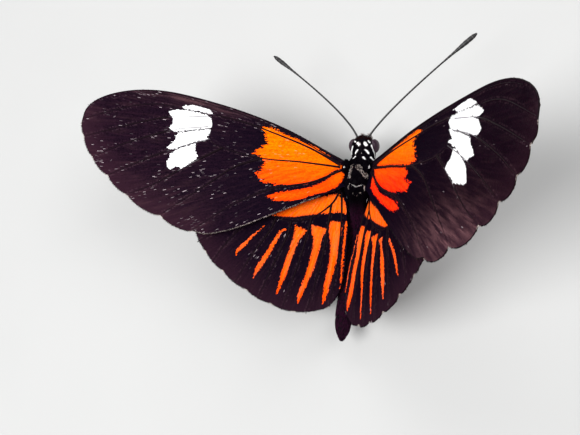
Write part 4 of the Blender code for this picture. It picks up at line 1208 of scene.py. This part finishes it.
def coilLine():
    t = np.linspace(0, 1, coilBuild["points"])
    inner, outer = coilBuild["radii"]
    radius = outer + (inner - outer) * t
    angle = math.radians(coilBuild["start"]) - 2 * math.pi * coilBuild["turns"] * t
    ring = columns(np.zeros_like(t), np.cos(angle) * radius, np.sin(angle) * radius)
    coil = ring + np.array(coilBuild["centre"])
    stem = smoothLine([*coilBuild["stem"], tuple(coil[2])], 0.06)
    points = np.vstack([stem[:-1], coil[2:]])
    share = np.linspace(0, 1, len(points))
    radii = coilBuild["tube"] * (1 - coilBuild["taper"] * share)
    return np.c_[points, radii * (1 + coilBuild["rib"] * np.sin(share * coilBuild["ribs"] * 2 * math.pi))], {}


def legLine(path, radii, side):
    keys = np.c_[np.asarray(path, float), radii]
    eased = [keys[0]]
    for a, b, c in zip(keys, keys[1:], keys[2:]):
        eased += [b + (a - b) * footBuild["ease"], b + (c - b) * footBuild["ease"]]
    eased.append(keys[-1])
    rows = []
    for a, b in zip(eased, eased[1:]):
        long = np.linalg.norm((b - a)[:3])
        count = max(2, round(long / footBuild["step"]))
        t = np.arange(count) / count
        part = a + (b - a) * t[:, None]
        part[:, 3] *= 1 + footBuild["swell"] * np.sin(math.pi * t) * (long > 1.0)
        rows.append(part)
    line = np.vstack([*rows, eased[-1:]])
    far = travelled(line[:, :3])
    foot = np.maximum(far - (far[-1] - footBuild["length"]), 0)
    waist = np.abs(np.cos(math.pi * foot / footBuild["segment"])) ** 6
    line[:, 3] *= 1 - footBuild["waist"] * (foot > 0) * waist
    line[:, 0] *= side
    low = floorDepth + line[:, 3]
    line[:, 2] = np.where(line[:, 2] < floorDepth + 0.45, np.maximum(line[:, 2], low), line[:, 2])
    return line


def addLegs():
    draw = np.random.default_rng(21)
    for kind, build in legBuild.items():
        for label, side in bothSides:
            line = legLine(build["path"], build["radii"], side)
            addTubes(f"{kind}_{label}_limb", [(line, {})], "leg", 14, [f"{kind}_{label}"])
            addHair(f"{kind}_{label}_bristles", [limbCoat(line, build["bristles"], 0.28, draw)])


def limbCoat(line, perLength, long, draw, pale=None):   # hairs round a limb, lying towards its end
    far = travelled(line[:, :3])
    count = int(far[-1] * perLength)
    spot = draw.random(count) * far[-1]
    centre = readAlong(spot, far, line)
    ahead = unit((readAlong(spot + 0.1, far, line) - readAlong(spot - 0.1, far, line))[:, :3])
    out = squareTo(draw.normal(0, 1, (count, 3)), ahead)
    here = centre[:, :3] + out * centre[:, 3:] * limbHair["sunk"]
    lie = unit(ahead + out * limbHair["stand"])
    size = [np.full(count, limbHair["wide"]), long * draw.uniform(0.6, 1.3, count), np.full(count, limbHair["high"])]
    clear = np.minimum(here[:, 2], here[:, 2] + lie[:, 2] * size[1]) > floorDepth + limbHair["overFloor"]
    tone = draw.random(count) * 0.15 if pale is None else pale * draw.uniform(0.6, 1.0, count)
    shade = draw.random(count)
    roots = hairRoots(here, out, lie, size, tone, shade,
                      bakePlace(spot / far[-1] * 0.9 + 0.05, draw.random(count) * 0.9 + 0.05))
    return {key: value[clear] for key, value in roots.items()}


for label, side in bothSides:
    addTubes(f"antenna_{label}_rod", [antennaLine(label, side)], "antenna", 16, [f"antenna_{label}"])
    palpLine = smoothLine(np.c_[np.array(palpBuild["path"]), palpBuild["radii"]], 0.1)
    palpLine[:, 0] *= side
    addTubes(f"palp_{label}_core", [(palpLine, {})], "leg", 14, [f"palp_{label}"])
    addHair(f"palp_{label}_hair", [limbCoat(palpLine, 160, 0.4, np.random.default_rng(60 + side), 0.9)])
addTubes("proboscis_coil", [coilLine()], "tongue", 12, ["proboscis"])
addLegs()

tegulaBuild = {"centre": (1.55, 0.2, 0.5), "radii": (0.5, 0.85, 0.36), "tilt": 35, "hairs": 420, "wide": 0.07,
               "high": 0.035, "long": (0.25, 0.45), "paleLong": 0.6, "stand": 0.15,
               "mark": {"left": (0.3, -0.35, 0.5, 0.16), "right": (0.5, -0.05, 0.25, 0.42)}}


def addTegula(label, side):
    draw, build = np.random.default_rng(80 + side), tegulaBuild
    turn = np.array(Matrix.Rotation(math.radians(build["tilt"] * side), 3, "Y"))
    centre = np.array(build["centre"]) * np.array([side, 1, 1])
    work = bmesh.new()
    bmesh.ops.create_uvsphere(work, u_segments=32, v_segments=20, radius=1.0)
    points = np.array([tuple(vertex.co) for vertex in work.verts])
    faces = [tuple(vertex.index for vertex in face.verts) for face in work.faces]
    work.free()
    pad = meshFrom((points * build["radii"]) @ turn.T + centre, faces, {"tone": np.zeros(len(points))}, 60)
    addPiece(f"tegula_{label}_pad", pad, "skin", [f"tegula_{label}"])
    count = build["hairs"]
    away = unit(draw.normal(0, 1, (count, 3)))
    face = unit((away / build["radii"]) @ turn.T)
    lie = lieBack(face, build["stand"], draw)
    x, y, wide, high = build["mark"][label]
    pale = np.hypot((away[:, 0] - x) / wide, (away[:, 1] - y) / high) < 1
    pale = np.where(pale & (away[:, 2] > 0), 1.0, 0.0)
    long = draw.uniform(*build["long"], count) * np.where(pale > 0, build["paleLong"], 1.0)
    size = [np.full(count, build["wide"]), long, np.full(count, build["high"])]
    around = np.arctan2(away[:, 1], away[:, 0]) / 6.3 + 0.5
    roots = hairRoots((away * build["radii"]) @ turn.T + centre, face, lie, size, pale, draw.random(count),
                      bakePlace(around, away[:, 2] * 0.45 + 0.5))
    addHair(f"tegula_{label}_hair", [roots])


for label, side in bothSides:
    addTegula(label, side)
print("feelers, palps, tongue, legs and tegulae made")
for shape in (scaleTemplate, hairTemplate):
    bpy.data.objects.remove(shape, do_unlink=True)


# Floor, light and camera

stage = {"floorSize": 3.0, "floorColours": ((0.46, 0.46, 0.455), (0.48, 0.48, 0.475)), "world": 0.27,
         "sky": (0.95, 0.97, 1.0, 1.0), "aim": (0.0, 0.0, 0.015)}
lamps = [   # place and size in metres, watts
    {"place": (-0.10, -0.08, 0.32), "size": 0.18, "watts": 1.35},
    {"place": (0.20, 0.06, 0.24), "size": 0.20, "watts": 0.6},
    {"place": (-0.10, 0.25, 0.20), "size": 0.22, "watts": 0.4},
]
view = {"place": (27.75, -23.04, 85.53), "right": (0.918, 0.136, -0.374), "up": (-0.063, 0.978, 0.200),
        "lens": 39.66, "sensor": 36.0}


def setStage():
    half = stage["floorSize"] / 2
    mesh = bpy.data.meshes.new("floor")
    mesh.from_pydata([(-half, -half, 0), (half, -half, 0), (half, half, 0), (-half, half, 0)], [], [(0, 1, 2, 3)])
    material, tree = newMaterial("floor", {"Roughness": 0.8})
    mesh.materials.append(painted(material, noise(tree, objectPlace(tree), 40.0).mix(*stage["floorColours"])))
    addObject("floor", mesh)
    world = bpy.data.worlds.new("studio")
    world.use_nodes = True
    background = world.node_tree.nodes["Background"].inputs
    background["Color"].default_value, background["Strength"].default_value = stage["sky"], stage["world"]
    scene.world = world
    for k, lamp in enumerate(lamps):
        light = bpy.data.lights.new(f"lamp_{k}", "AREA")
        light.size, light.energy = lamp["size"], lamp["watts"]
        holder = addObject(f"lamp_{k}", light)
        holder.location = lamp["place"]
        aim = Vector(stage["aim"]) - Vector(lamp["place"])
        holder.rotation_euler = aim.to_track_quat("-Z", "Y").to_euler()


def setCamera():
    lens = bpy.data.cameras.new("camera")
    lens.lens, lens.sensor_width = view["lens"], view["sensor"]
    lens.clip_start, lens.clip_end = 0.002, 10.0
    camera = addObject("camera", lens)
    right = Vector(view["right"]).normalized()
    up = Vector(view["up"])
    up = (up - right * up.dot(right)).normalized()
    axes = Matrix((right, up, right.cross(up))).transposed()
    camera.matrix_world = Matrix.Translation(Vector(toRow(view["place"])[0])) @ axes.to_4x4()
    scene.camera = camera
    scene.view_settings.view_transform = "Standard"


setStage()
setCamera()
bpy.context.view_layer.update()
print("pieces", len(pieceList), "faces", sum(len(piece.data.polygons) for piece in pieceList))
